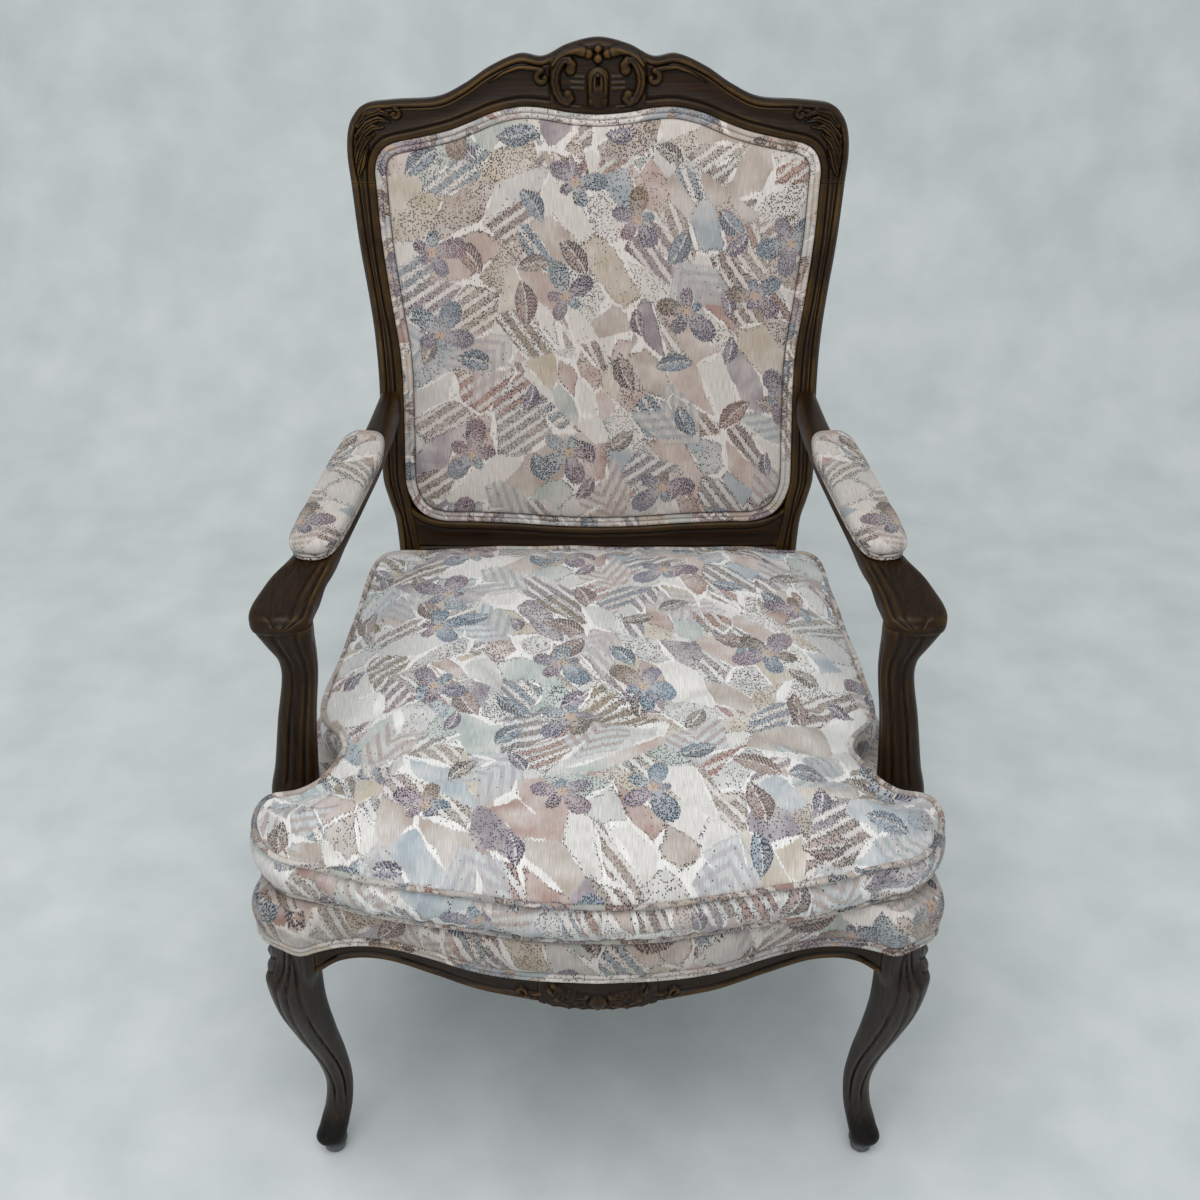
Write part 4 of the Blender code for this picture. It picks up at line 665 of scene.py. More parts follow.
def cartouche_relief(x, rise):
    """C-scrolls, a hatched ground, an arched boss with its loop and slot, and beads above it."""
    side = np.abs(x)
    inside = np.clip(1.0 - (side / 0.050) ** 4 - ((rise - 0.609) / 0.036) ** 4, 0, 1)
    high = 0.0004 - 0.0016 * np.clip(inside * 5, 0, 1)
    for level in (0.6125, 0.6065, 0.6005):
        line = ((0.0155, level), (0.0290, level + 0.0006))
        high = np.maximum(high, stroke(side, rise, line, 0.0019, 0.0020) - 0.0010)
    outer_scroll = ((0.0300, 0.6200), (0.0285, 0.6255), (0.0320, 0.6305), (0.0380, 0.6300),
                    (0.0430, 0.6240), (0.0462, 0.6160), (0.0470, 0.6070), (0.0448, 0.5975),
                    (0.0400, 0.5895), (0.0340, 0.5865), (0.0305, 0.5905), (0.0330, 0.5945))
    widths = (0.0064, 0.0056, 0.0050, 0.0050, 0.0054, 0.0056, 0.0056, 0.0054, 0.0050, 0.0048, 0.0054,
              0.0062)
    boss = ((0.0, 0.5900), (0.0, 0.6000), (0.0, 0.6120))
    loop = ((0.0060, 0.5960), (0.0062, 0.6060), (0.0052, 0.6130), (0.0, 0.6170))
    high = carve(high, side, rise, (
        (outer_scroll, widths, SCROLL_RISE), (outer_scroll[2:-2], 0.0009, -0.0010),
        (boss, (0.0112, 0.0118, 0.0124), SCROLL_RISE), (loop, 0.0010, -0.0013),
        (((0.0010, 0.6040), (0.0010, 0.6120)), 0.0016, -0.0030)))
    # the foot's curls, and the beads above the boss: x, rise, radius, height
    for bead_x, bead_rise, radius, proud in (
            (0.0062, 0.5872, 0.0055, SCROLL_RISE * 0.9), (0.0, 0.6315, 0.0056, 0.0062),
            (0.0, 0.6415, 0.0046, 0.0058), (0.0105, 0.6365, 0.0060, 0.0056)):
        away = np.hypot(side - bead_x, rise - bead_rise)
        high = np.maximum(high, proud * np.sqrt(np.clip(1 - (away / radius) ** 2, 0, 1)))
    crown = ((0.0165, 0.6385), (0.0240, 0.6400), (0.0330, 0.6385), (0.0420, 0.6330), (0.0490, 0.6250))
    base = ((0.0, 0.5805), (0.0200, 0.5815), (0.0330, 0.5830))
    return carve(high, side, rise, (
        (crown, (0.0062, 0.0056, 0.0046, 0.0036, 0.0022), 0.0064), (base, 0.0016, 0.0018)))


def shoulder_relief(x, rise):
    """Leaves over the shoulder: five lobes that fan out from a curl, with veins."""
    side = np.abs(x)
    high = np.zeros_like(side)
    lobes = (((0.2260, 0.5720), (0.2400, 0.5765), (0.2540, 0.5720), (0.2640, 0.5610)),
             ((0.2290, 0.5660), (0.2420, 0.5690), (0.2550, 0.5630), (0.2660, 0.5500)),
             ((0.2360, 0.5600), (0.2480, 0.5600), (0.2580, 0.5520), (0.2660, 0.5380)),
             ((0.2470, 0.5520), (0.2560, 0.5460), (0.2620, 0.5360), (0.2665, 0.5230)),
             ((0.2540, 0.5400), (0.2590, 0.5300), (0.2620, 0.5200), (0.2650, 0.5100)))
    for path in lobes:
        leaf = stroke(side, rise, path, (0.0014, 0.0038, 0.0044, 0.0026), 0.0042)
        vein = 0.0012 * stroke(side, rise, path, 0.0007, 1.0)
        high = np.maximum(high, leaf - vein)
    curl = scroll((0.2225, 0.5735), 90, 400, 0.0062, 0.0016)
    eye = ((0.2225, 0.5735), (0.2225, 0.5736))
    return carve(high, side, rise, ((curl, 0.0026, 0.0046), (eye, 0.0030, 0.0040)))


def moulding_curl(x, rise):
    """The outer moulding's inner line, which turns down in a curl beside the cartouche."""
    side = np.abs(x)
    curl = scroll((0.0605, 0.6115), 80, -170, 0.0074, 0.0030)
    run = ((0.0615, 0.6192), (0.0720, 0.6215), (0.0860, 0.6225), (0.1020, 0.6170), (0.1180, 0.6065))
    return carve(0.0, side, rise, (
        (curl, 0.0038, 0.0044), (run, (0.0034, 0.0030, 0.0024, 0.0016, 0.0004), 0.0030)))


past_middle = np.array(CREST_LINES[-2]) * (-1, 1, -1, 1)
crest_keys = np.column_stack([np.arange(len(CREST_LINES) + 1), np.vstack([CREST_LINES, past_middle])])
fine = smooth(crest_keys, np.linspace(0, len(CREST_LINES) - 1, 2400))
travel = np.concatenate([[0], np.cumsum(np.hypot(*(np.diff(fine[:, 2:], axis=0)).T))])
pace = np.where(fine[:, 2] < 0.070, 0.0010, np.where(fine[:, 2] > 0.212, 0.0013, 0.0024))
ticks = np.concatenate([[0], np.cumsum(np.diff(travel) / pace[1:])])
half = np.stack([np.interp(np.arange(0, ticks[-1]), ticks, column) for column in fine.T], axis=-1)
half = np.vstack([half, fine[-1:]])
half[0, 1] += FIT
half[0, 3] += FIT
full = np.vstack([half, (half * (-1, 1, -1, 1))[-2::-1]])
rings = []
for x_in, s_in, x_out, s_out in full:
    width = math.hypot(x_out - x_in, s_out - s_in)
    ux, us = (x_out - x_in) / width, (s_out - s_in) / width
    section = frame_section(width, field=46)
    x, rise, forward = x_in + ux * section[:, 0], s_in + us * section[:, 0], section[:, 1].copy()
    face = np.zeros(len(forward))
    face[4:-6] = 1.0
    over = np.maximum(shoulder_relief(x, rise), moulding_curl(x, rise))
    if abs(x_in) < 0.075:
        calm = ramp(np.abs(x), CARTOUCHE_HALF, -0.003) * ramp(rise, 0.5795, 0.002)
        calm *= ramp(section[:, 0], width - 0.0035, -0.004)
        carved = cartouche_relief(x, rise) + 0.0022 * calm
        forward = forward * (1 - calm * face) + carved * calm * face
    rings.append(on_back(x, rise, forward + over * face))
finish_wood(skin("crest_rail_carved", rings), cross_walnut, "crest_rail")

# Arms. Each is one shaped piece from the stile to the hand, flared outwards at the front
# and rolled over a curved support. Flutes run down the hand and on over the support.

ARM_TOP = 0.634
ARM_UNDER = 0.611
HAND_FRONT_Y = -0.165
HAND_UNDER = 0.597
ARM_JOINT_Y = 0.279
SUPPORT_Y = -0.146
# Middle of the arm in plan and its half width: (y, x, half width)
ARM_LINE = (
    (HAND_FRONT_Y, 0.3025, 0.0200), (HAND_FRONT_Y + 0.007, 0.3030, 0.0270),
    (-0.146, 0.3030, 0.0300), (-0.128, 0.3005, 0.0295), (-0.104, 0.2925, 0.0272),
    (-0.080, 0.2830, 0.0235), (-0.030, 0.2745, 0.0200), (0.060, 0.2625, 0.0190),
    (0.130, 0.2535, 0.0180), (0.200, 0.2470, 0.0150), (0.290, 0.2430, 0.0120))
ARM_SIDES = (
    (HAND_FRONT_Y, HAND_UNDER + 0.001, ARM_TOP - 0.020), (-0.1605, HAND_UNDER - 0.001, ARM_TOP - 0.0165),
    (-0.150, HAND_UNDER, ARM_TOP - 0.0140), (-0.122, HAND_UNDER, ARM_TOP - 0.0085),
    (-0.103, ARM_UNDER - 0.002, ARM_TOP - 0.004), (-0.086, ARM_UNDER, ARM_TOP),
    (-0.070, ARM_UNDER, ARM_TOP), (0.150, ARM_UNDER, ARM_TOP), (0.166, ARM_UNDER, ARM_TOP),
    (0.200, ARM_UNDER - 0.004, ARM_TOP), (0.290, ARM_UNDER - 0.014, ARM_TOP))
FLUTE_DEPTH = 0.0016
FLUTES = (-0.30, 0.10, 0.48, 0.80)


def soft_box(count, power):
    """Points round a rounded square from -1 to 1, first on its upper side."""
    turn = np.linspace(math.pi / 2, math.pi / 2 - 2 * math.pi, count)
    c, s = np.cos(turn), np.sin(turn)
    return np.sign(c) * np.abs(c) ** (2 / power), np.sign(s) * np.abs(s) ** (2 / power)


rings = []
u, v = soft_box(97, 3.6)
for y in np.concatenate([np.linspace(HAND_FRONT_Y, -0.140, 26), np.linspace(-0.139, -0.060, 50),
                         np.linspace(-0.055, ARM_JOINT_Y, 60)]):
    x, wide = smooth(ARM_LINE, y)
    low, high = smooth(ARM_SIDES, y)
    nose = 1 - 0.5 * ramp(y, HAND_FRONT_Y + 0.004, -0.004) ** 2
    shrink = np.sqrt(np.clip(1 - ramp(y, HAND_FRONT_Y + 0.010, -0.0125) ** 2, 0, 1)) * nose
    middle, tall = (low + high) / 2, (high - low) / 2
    ring_x = x + u * wide * (0.55 + 0.45 * shrink)
    ring_z = middle + v * tall * (0.60 + 0.40 * shrink)
    top = np.clip(v, 0, 1) * np.clip((-0.083 - y) / 0.010, 0, 1)
    for flute in FLUTES:
        ring_z -= FLUTE_DEPTH * top * dip((u + flute) * wide, 0.0017)
    lean = 0.0 if y < ARM_JOINT_Y - 1e-6 else 1.0
    face = BACK_FOOT_Y + (ring_z - SEAT_TOP) * math.tan(RAKE)
    rings.append(np.stack([ring_x, y + lean * (face + FIT - y), ring_z], axis=-1))
tip = np.array(rings[0])
centre = tip[:-1].mean(axis=0)
caps = [centre + (tip - centre) * share + (0, -ahead, 0) for share, ahead in
        ((0.25, 0.0024), (0.62, 0.0021), (0.88, 0.0010))]
finish_pair(skin("arm_carved_right", caps + rings), arm_walnut, "arm")

# Height, middle x, middle y, half width, half depth
SUPPORT = (
    (SEAT_TOP, 0.3095, SUPPORT_Y, 0.0210, 0.0200),
    (SEAT_TOP + 0.020, 0.3105, SUPPORT_Y, 0.0240, 0.0210),
    (0.430, 0.3065, SUPPORT_Y + 0.002, 0.0215, 0.0170),
    (0.490, 0.2995, SUPPORT_Y + 0.002, 0.0190, 0.0150),
    (0.540, 0.2920, SUPPORT_Y + 0.003, 0.0175, 0.0145),
    (0.562, 0.2922, SUPPORT_Y + 0.003, 0.0185, 0.0150),
    (0.580, 0.2965, SUPPORT_Y + 0.001, 0.0230, 0.0165),
    (HAND_UNDER, 0.3005, SUPPORT_Y - 0.001, 0.0275, 0.0180))
rings = []
u, v = soft_box(89, 3.0)
for z in np.linspace(SEAT_TOP + FIT, HAND_UNDER + 0.007, 92):
    x, y, wide, deep = smooth(SUPPORT, z)
    front = np.clip(-v, 0, 1)
    shade = ramp(z, SEAT_TOP + 0.030, 0.012)
    ring_x, ring_y = x + u * wide, y + v * deep
    for flute in (-0.50, -0.12, 0.28):
        ring_y += 0.0017 * front * shade * dip((u - flute) * wide, 0.0017)
    # two lines are cut into the inner side, below the hand's turn
    inner = np.clip(-u, 0, 1)
    ring_x += 0.0013 * inner * shade * (dip((v + 0.35) * deep, 0.0010) + dip((v - 0.35) * deep, 0.0010)) \
        * ramp(z, 0.590, -0.008)
    rings.append(np.stack([ring_x, ring_y, np.full_like(u, z)], axis=-1))
finish_pair(skin("arm_support_carved_right", rings), upright_walnut, "arm_support")

# Upholstery of the back. Stuffing over jute webbing, covered in printed cotton drawn down
# into the frame's rebate, with a twin welt glued round over the tacks. The rear has a flat
# card panel in the same cloth, and its own welt.

PANEL_THICK = 0.0022
BACK_CROWN = 0.020
WELT_WIDTH = 0.012
WELT_THICK = 0.005
THREAD = 0.0009           # between two threads; finer ones don't show
SHARD = 0.062             # printed wedges of colour, along
NARROW = 0.50             # their width, as a share of that
STRIPE = 0.0130           # from bar to bar on the striped wedges
BLOOM = 0.118             # between two printed flowers
LEAF_GAP = 0.057
LEAF_LENGTHS = (0.015, 0.027)     # from a leaf's middle to its tip, least and most
PETAL_LENGTHS = (0.014, 0.043)
CHEVRONS = 0.105          # between two patches of nested chevrons
CHEVRON_STEP = 0.0075
DOT = 0.0017              # stippling, drawn a little coarser than it is
CREAM = "#e9e6e2"
CLOTH_TONES = (
    (0.00, "#e4e1dc"), (0.14, "#c6b5ac"), (0.28, "#d3d2cf"), (0.40, "#b0bac0"), (0.48, "#bcb0a6"),
    (0.60, "#e6e3df"), (0.70, "#cabfae"), (0.80, "#b9c2bd"), (0.88, "#b79c93"), (0.95, "#a0979e"))
BAR_TONES = ((0.0, "#aa9d94"), (0.2, "#c0b6ad"), (0.42, "#a79ca2"), (0.6, "#bc9c91"), (0.78, "#9ea9b1"),
             (0.9, "#a09380"))
LEAF_TONES = ((0.0, "#b0a9b4"), (0.3, "#bdb4ab"), (0.5, "#a9b3bb"), (0.75, "#bbaaa3"))
FLOWER_TONES = ((0.0, "#a9a5b0"), (0.25, "#a3afba"), (0.5, "#b3a5ad"), (0.7, "#ab9d8f"), (0.85, "#b6c0c5"))
INK = "#332e3b"
RUST = "#6c4d42"
# brown multiplied in for soiling and for painted shade
SOIL_AND_SHADE = "#8a6a50"
BARE = "#f3f1ee"          # unprinted cloth in the gaps


def scattered(add, cloth, size, seed, least, most):
    """Spots over the cloth: place from the nearest one, turned at random, and its dice."""
    moved = add("VectorMath ADD", (cloth, (seed, seed * 0.7, 0.0)))
    spot = add("TexVoronoi 2D", {"Vector": moved, "Scale": 1 / size, "Randomness": 0.78}, out=None)
    local = add("VectorMath SUBTRACT", (moved, spot.outputs["Position"]))
    dice = add("SeparateColor", (spot.outputs["Color"],), out=None)
    turn = add("MapRange", {"Value": dice.outputs[1], 3: least, 4: most})
    turned = add("VectorRotate", {"Vector": local, "Angle": turn}, rotation_type="Z_AXIS")
    axes = add("SeparateXYZ", (turned,), out=None)
    return axes.outputs[0], axes.outputs[1], dice.outputs


def printed_cotton(name, shade_and_wear_tint="#ffffff"):
    """Printed cotton: slanting wedges of colour, some with stippled bars, pale nested
    chevrons, leaves and loose five-petal flowers, on cream that shows between them.

    Edges are feathered along the warp, and dots of ink gather on the motifs' outlines.
    """
    finish, shader, add = new_finish(name, Roughness=0.88, Sheen_Weight=0.10, Sheen_Roughness=0.5)
    flat = add("UVMap", uv_map="cloth")
    warp = add("Mapping", {"Vector": flat, "Scale": (0.8 / THREAD, 30.0, 1.0)})
    feather = add("TexNoise 2D", {"Vector": warp, "Scale": 0.8, "Detail": 2.0})
    lift = add("MapRange", {"Value": feather, 1: 0.3, 2: 0.7, 3: -0.0018, 4: 0.0018})
    shift = add("CombineXYZ", {1: lift})
    cloth = add("VectorMath ADD", (flat, shift))

    # wedges of colour in three slants, with cream gaps between them
    which = add("TexVoronoi 2D", {"Vector": cloth, "Scale": 0.55 / SHARD}, out="Color")
    which = add("SeparateColor", (which,))
    field = gap = run = None
    for turn, size, seed, start in ((0.60, 1.15, 3.1, 0.0), (-0.95, 1.0, 7.7, 0.40), (1.95, 0.75, 1.3, 0.72)):
        slant = add("Mapping", {"Vector": cloth, "Rotation": (0.0, 0.0, turn), "Scale": (1.0, NARROW, 1.0),
                                "Location": (seed, seed, 0.0)}, vector_type="TEXTURE")
        tone = add("TexVoronoi 2D", {"Vector": slant, "Scale": 1 / (SHARD * size)}, out="Color")
        edge_gap = add("TexVoronoi 2D", {"Vector": slant, "Scale": 1 / (SHARD * size)},
                       feature="DISTANCE_TO_EDGE")
        line = add("SeparateXYZ", (slant,), out=1)
        if field is None:
            field, gap, run = tone, edge_gap, line
        else:
            pick = add("Math GREATER_THAN", (which, start))
            field = add("Mix RGBA", {0: pick, 6: field, 7: tone})
            gap = add("Mix", {0: pick, 2: gap, 3: edge_gap})
            run = add("Mix", {0: pick, 2: run, 3: line})
    dice = add("SeparateColor", (field,), out=None).outputs
    ground = toned(add, dice[0], CLOTH_TONES, "CONSTANT")
    wash = add("TexNoise 2D", {"Vector": cloth, "Scale": 26.0, "Detail": 3.0})
    washed = add("MapRange", {"Value": wash, 1: 0.35, 2: 0.7, 3: 0.0, 4: 0.60})
    ground = add("Mix RGBA", {0: washed, 6: ground, 7: linear(CREAM)})

    # broad bars with dark stippled edges along some wedges, and cream between the bars
    period = STRIPE / NARROW / 2
    stripe = add("Math PINGPONG", (run, period))
    striped = add("Math GREATER_THAN", (dice[1], 0.64))
    bars = add("Math MULTIPLY", (add("Math LESS_THAN", (stripe, period * 0.52)), striped))
    between = add("Math SUBTRACT", (striped, bars))
    tint = toned(add, dice[2], BAR_TONES, "CONSTANT")
    ground = add("Mix RGBA", {0: add("Math MULTIPLY", (bars, 0.80)), 6: ground, 7: tint})
    ground = add("Mix RGBA", {0: add("Math MULTIPLY", (between, 0.7)), 6: ground, 7: linear(CREAM)})
    margin = add("Math COMPARE", (stripe, period * 0.52, period * 0.15))
    margin = add("MapRange", {"Value": add("Math MULTIPLY", (margin, striped)), 3: 0.0, 4: 0.82})
    spread = add("MapRange", {"Value": dice[2], 1: 0.60, 2: 0.95, 3: 0.0, 4: 0.50})
    heavy = add("Mix", {0: bars, 2: spread, 3: 0.42})
    heavy = add("Math MAXIMUM", (heavy, margin))
    uneven = add("TexNoise 2D", {"Vector": flat, "Scale": 17.0})
    width = add("MapRange", {"Value": uneven, 1: 0.48, 2: 0.68, 3: 0.0, 4: 0.10})
    beyond = add("Math SUBTRACT", (gap, width))
    outline = add("MapRange", {"Value": beyond, 1: 0.02, 2: 0.08, 3: 0.62, 4: 0.0})
    inked = add("Math GREATER_THAN", (dice[1], 0.40))
    heavy = add("Math MAXIMUM", (heavy, add("Math MULTIPLY", (outline, inked))))

    # nested chevrons, pale on pale, over a few wedges
    x, y, mood = scattered(add, cloth, CHEVRONS, 11.3, -2.4, 2.4)
    fold = add("Math ADD", (x, add("Math ABSOLUTE", (y,))))
    step = add("Math PINGPONG", (fold, CHEVRON_STEP))
    ridge = add("Math GREATER_THAN", (step, CHEVRON_STEP * 0.56))
    near = add("Math MULTIPLY", (add("Math COMPARE", (fold, 0.006, 0.030)),
                                add("Math COMPARE", (y, 0.0, 0.030))))
    chosen = add("Math GREATER_THAN", (mood[0], 0.52))
    area = add("Math MULTIPLY", (near, chosen))
    pale = toned(add, mood[2], ((0.0, "#d3cfca"), (0.5, "#c9cecf")), "CONSTANT")
    ground = add("Mix RGBA", {0: add("Math MULTIPLY", (area, 0.65)), 6: ground, 7: pale})
    tint = toned(add, mood[1], ((0.0, "#b9b5bb"), (0.35, "#a7b1b5"), (0.7, "#b3a29b")), "CONSTANT")
    ridged = add("Math MULTIPLY", (add("Math MULTIPLY", (area, ridge)), 0.7))
    ground = add("Mix RGBA", {0: ridged, 6: ground, 7: tint})
    heavy = add("Mix", {0: area, 2: heavy, 3: 0.02})
    white = add("Math LESS_THAN", (beyond, 0.0))
    ground = add("Mix RGBA", {0: white, 6: ground, 7: linear(BARE)})
    heavy = add("Mix", {0: white, 2: heavy, 3: 0.03})

    # leaves with a pale rib, one half hatched and the other stippled
    x, y, mood = scattered(add, cloth, LEAF_GAP, 5.3, -3.1, 3.1)
    length = add("MapRange", {"Value": mood[2], 3: LEAF_LENGTHS[0], 4: LEAF_LENGTHS[1]})
    share = add("Math POWER", (add("Math DIVIDE", (x, length)), 2.0))
    half = add("Math MULTIPLY", (add("Math SUBTRACT", (1.0, share)), add("Math MULTIPLY", (length, 0.48))))
    bowed = add("Math MULTIPLY_ADD", (share, 0.0035, y))
    off = add("Math ABSOLUTE", (bowed,))
    leaf = add("Math LESS_THAN", (off, half))
    shown = add("Math GREATER_THAN", (mood[0], 0.50))
    leaf = add("Math MULTIPLY", (leaf, shown))
    hatch = add("Math PINGPONG", (add("Math MULTIPLY_ADD", (off, 0.8, x)), 0.0019))
    upper = add("Math GREATER_THAN", (bowed, 0.0))
    veins = add("Math MULTIPLY", (add("Math GREATER_THAN", (hatch, 0.0011)), upper))
    rib = add("Math LESS_THAN", (off, 0.0009))
    paint = toned(add, mood[2], LEAF_TONES, "CONSTANT")
    paint = add("Mix RGBA", {0: add("Math MULTIPLY", (veins, 0.75)), 6: paint, 7: linear(INK)})
    paint = add("Mix RGBA", {0: rib, 6: paint, 7: linear("#dedad4")})
    ground = add("Mix RGBA", {0: leaf, 6: ground, 7: paint})
    rim = add("Math LESS_THAN", (add("Math SUBTRACT", (half, off)), 0.0022))
    rim = add("MapRange", {"Value": rim, 3: 0.50, 4: 0.97})
    heavy = add("Mix", {0: leaf, 2: heavy, 3: rim})

    # loose flowers: five petals of uneven length and colour about a pale eye
    x, y, mood = scattered(add, cloth, BLOOM, 17.1, -3.1, 3.1)
    angle = add("Math ARCTAN2", (y, x))
    away = add("Math ADD", (add("Math MULTIPLY", (x, x)), add("Math MULTIPLY", (y, y))))
    away = add("Math SQRT", (away,))
    wave = add("Math ABSOLUTE", (add("Math COSINE", (add("Math MULTIPLY", (angle, 2.5)),)),))
    number = add("Math FLOOR", (add("Math MULTIPLY_ADD", (angle, 2.5 / math.pi, 0.5)),))
    chance = add("TexWhiteNoise 1D", {"W": add("Math ADD", (number, mood[2]))})
    spread = add("MapRange", {"Value": chance, 1: 0.10, 2: 1.0, 3: PETAL_LENGTHS[0],
                                 4: PETAL_LENGTHS[1]})
    petal = add("Math MULTIPLY_ADD", (add("Math POWER", (wave, 0.6)), spread, 0.003))
    bloom = add("Math LESS_THAN", (away, petal))
    shown = add("Math GREATER_THAN", (mood[0], 0.34))
    bloom = add("Math MULTIPLY", (bloom, shown))
    again = add("TexWhiteNoise 1D", {"W": chance})
    paint = toned(add, again, FLOWER_TONES, "CONSTANT")
    depth = add("Math DIVIDE", (away, petal))
    pale = add("MapRange", {"Value": depth, 1: 0.1, 2: 0.8, 3: 0.65, 4: 0.0})
    paint = add("Mix RGBA", {0: pale, 6: paint, 7: linear("#cbc4c2")})
    eye = add("Math LESS_THAN", (away, 0.0055))
    paint = add("Mix RGBA", {0: eye, 6: paint, 7: linear("#cdb9a8")})
    ground = add("Mix RGBA", {0: bloom, 6: ground, 7: paint})
    ring = add("MapRange", {"Value": depth, 1: 0.20, 2: 0.90, 3: 0.16, 4: 0.97})
    heavy = add("Mix", {0: bloom, 2: heavy, 3: ring})

    # dots of plum, brown or slate ink, more of them where a motif is heavy
    tall = add("Mapping", {"Vector": flat, "Scale": (1.0, 0.78, 1.0)})
    dots = add("TexVoronoi 2D", {"Vector": tall, "Scale": 1 / DOT}, out=None)
    draw = add("SeparateColor", (dots.outputs["Color"],), out=None).outputs
    near = add("Math LESS_THAN", (dots.outputs["Distance"], 0.42))
    often = add("Math LESS_THAN", (draw[0], heavy))
    cloudy = add("TexNoise 2D", {"Vector": flat, "Scale": 21.0, "Detail": 2.0})
    cloud = add("MapRange", {"Value": cloudy, 1: 0.35, 2: 0.6, 3: 0.60, 4: 1.0})
    inked = add("Math MULTIPLY", (add("Math MULTIPLY", (near, often)), cloud))
    tints = add("TexNoise 2D", {"Vector": flat, "Scale": 16.0, "Detail": 1.0})
    colour = toned(add, tints, ((0.0, "#34434f"), (0.42, INK), (0.54, "#443730"), (0.66, RUST)), "CONSTANT")
    printed = add("Mix RGBA", {0: inked, 6: ground, 7: colour})

    # streaks of the warp, brown soiling on the ears where hands rub, painted shade along the cushion's front
    # foot, a darker left front corner of the skirt, and the weave
    long = add("Mapping", {"Vector": flat, "Scale": (1 / THREAD, 60.0, 1.0)})
    streak = add("TexNoise 2D", {"Vector": long, "Scale": 1.0, "Detail": 3.0})
    shade = add("MapRange", {"Value": streak, 1: 0.25, 2: 0.75, 3: 0.78, 4: 1.14})
    # the tint darkens the back's copy of the cotton as painted shade, and the skirt's, pads' and piping's
    # copy as painted shade and wear
    shade = add("VectorMath MULTIPLY", (add("CombineXYZ", (shade, shade, shade)), linear(shade_and_wear_tint)[:3]))
    shaded = add("VectorMath MULTIPLY", (printed, shade))
    soil_and_shade = add("Attribute", out="Fac", attribute_name="soil_and_shade")
    patchy = add("TexNoise 2D", {"Vector": flat, "Scale": 60.0, "Detail": 5.0})
    grime_and_shade = add("Math MULTIPLY", (soil_and_shade, add("MapRange", {"Value": patchy, 1: 0.35, 2: 0.7, 3: 0.25})))
    soiled_and_shaded = add("Mix RGBA", {0: grime_and_shade, 6: shaded, 7: linear(SOIL_AND_SHADE)}, blend_type="MULTIPLY")
    weft = add("Mapping", {"Vector": flat, "Scale": (1 / THREAD, 0.6 / THREAD, 1.0)})
    weave = add("TexNoise 2D", {"Vector": weft, "Scale": 1.0, "Detail": 2.0})
    woven = add("Bump", {"Strength": 0.5, "Distance": 0.0004, "Height": weave})
    cords = add("Bump", {"Strength": 0.35, "Distance": 0.0004, "Height": streak, "Normal": woven})
    drive(shader, Base_Color=soiled_and_shaded, Normal=cords)
    return finish


cotton = printed_cotton("printed_cotton")
# darker copies of the same cotton: painted shade on the back; painted shade and wear on the skirt, arm pads,
# welts and piping
shaded_back_cotton = printed_cotton("printed_cotton_of_the_back", "#e9e2de")
shaded_and_worn_cotton = printed_cotton("printed_cotton_dulled_by_use", "#e0dad6")


def even(points, spacing, closed=True):
    """A smooth line through points, sampled evenly; a closed one ends where it starts."""
    points = np.asarray(points, float)
    if closed:
        points = np.vstack([points[-2:], points, points[:3]])
    knots = np.concatenate([[0], np.cumsum(np.linalg.norm(np.diff(points, axis=0), axis=1) ** 0.7)])
    keys = np.column_stack([knots, points])
    first, last = (knots[2], knots[-3]) if closed else (knots[0], knots[-1])
    dense = smooth(keys, np.linspace(first, last, 4000))
    travel = np.concatenate([[0], np.cumsum(np.linalg.norm(np.diff(dense, axis=0), axis=1))])
    count = max(int(round(travel[-1] / spacing)), 8)
    spots = np.linspace(0, travel[-1], count + 1)
    line = np.stack([np.interp(spots, travel, column) for column in dense.T], axis=-1)
    if closed:
        line[-1] = line[0]
    return line


def outward(loop):
    """Unit directions out of an anticlockwise closed plane loop."""
    ahead = np.roll(loop[:-1], -1, axis=0) - np.roll(loop[:-1], 1, axis=0)
    ahead = np.vstack([ahead, ahead[:1]])
    out = np.stack([ahead[:, 1], -ahead[:, 0]], axis=-1)
    return out / np.linalg.norm(out, axis=1)[:, None]


def travelled(loop):
    """Distance run along a line at each of its points."""
    return np.concatenate([[0], np.cumsum(np.linalg.norm(np.diff(loop, axis=0), axis=1))])


def twin_section(width, thick, count=10):
    """Section of a twin welt, round its two cords and back over its flat glued side."""
    cord = width / 4
    turn = np.linspace(-0.25 * math.pi, 1.0 * math.pi, count)
    right = np.stack([cord + cord * np.cos(turn), thick / 2 + thick / 2 * np.sin(turn)], axis=-1)
    left = (right * (-1, 1))[::-1]
    return np.vstack([right[:-1], left, right[:1]])


def twin_welt(name, line, side, up, width, thick):
    """Twin welt along a line; side and up give its width's and its height's directions."""
    section = twin_section(width, thick)
    points = line[:, None, :] + side[:, None, :] * section[None, :, :1] + up[:, None, :] * section[None, :,
                                                                                                   1:]
    run = travelled(line)
    girth = travelled(section)
    cloth = np.stack(np.broadcast_arrays(run[:, None], girth[None, :]), axis=-1)
    return skin(name, points, cloth)


def finish_cloth(piece, finish, node=None):
    """Shade an upholstered piece and let it stand for its CAD solid."""
    piece.data.shade_smooth()
    stand_for(piece, finish, node)


side = list(LOWER_RAIL_TOP)
side += [(float(smooth(POST_LINES, rise)[1]), rise) for rise in (0.154, 0.225, 0.300, 0.370, 0.440)]
side += [(x, rise) for x, rise, _, _ in CREST_LINES]
opening = even(side + [(-x, rise) for x, rise in reversed(side[1:-1])], 0.004)
opening_out = outward(opening)
BACK_MIDDLE = np.array((0.0, 0.33))
PAD_LIP = -0.0058         # where the cloth's edge lies in the rebate


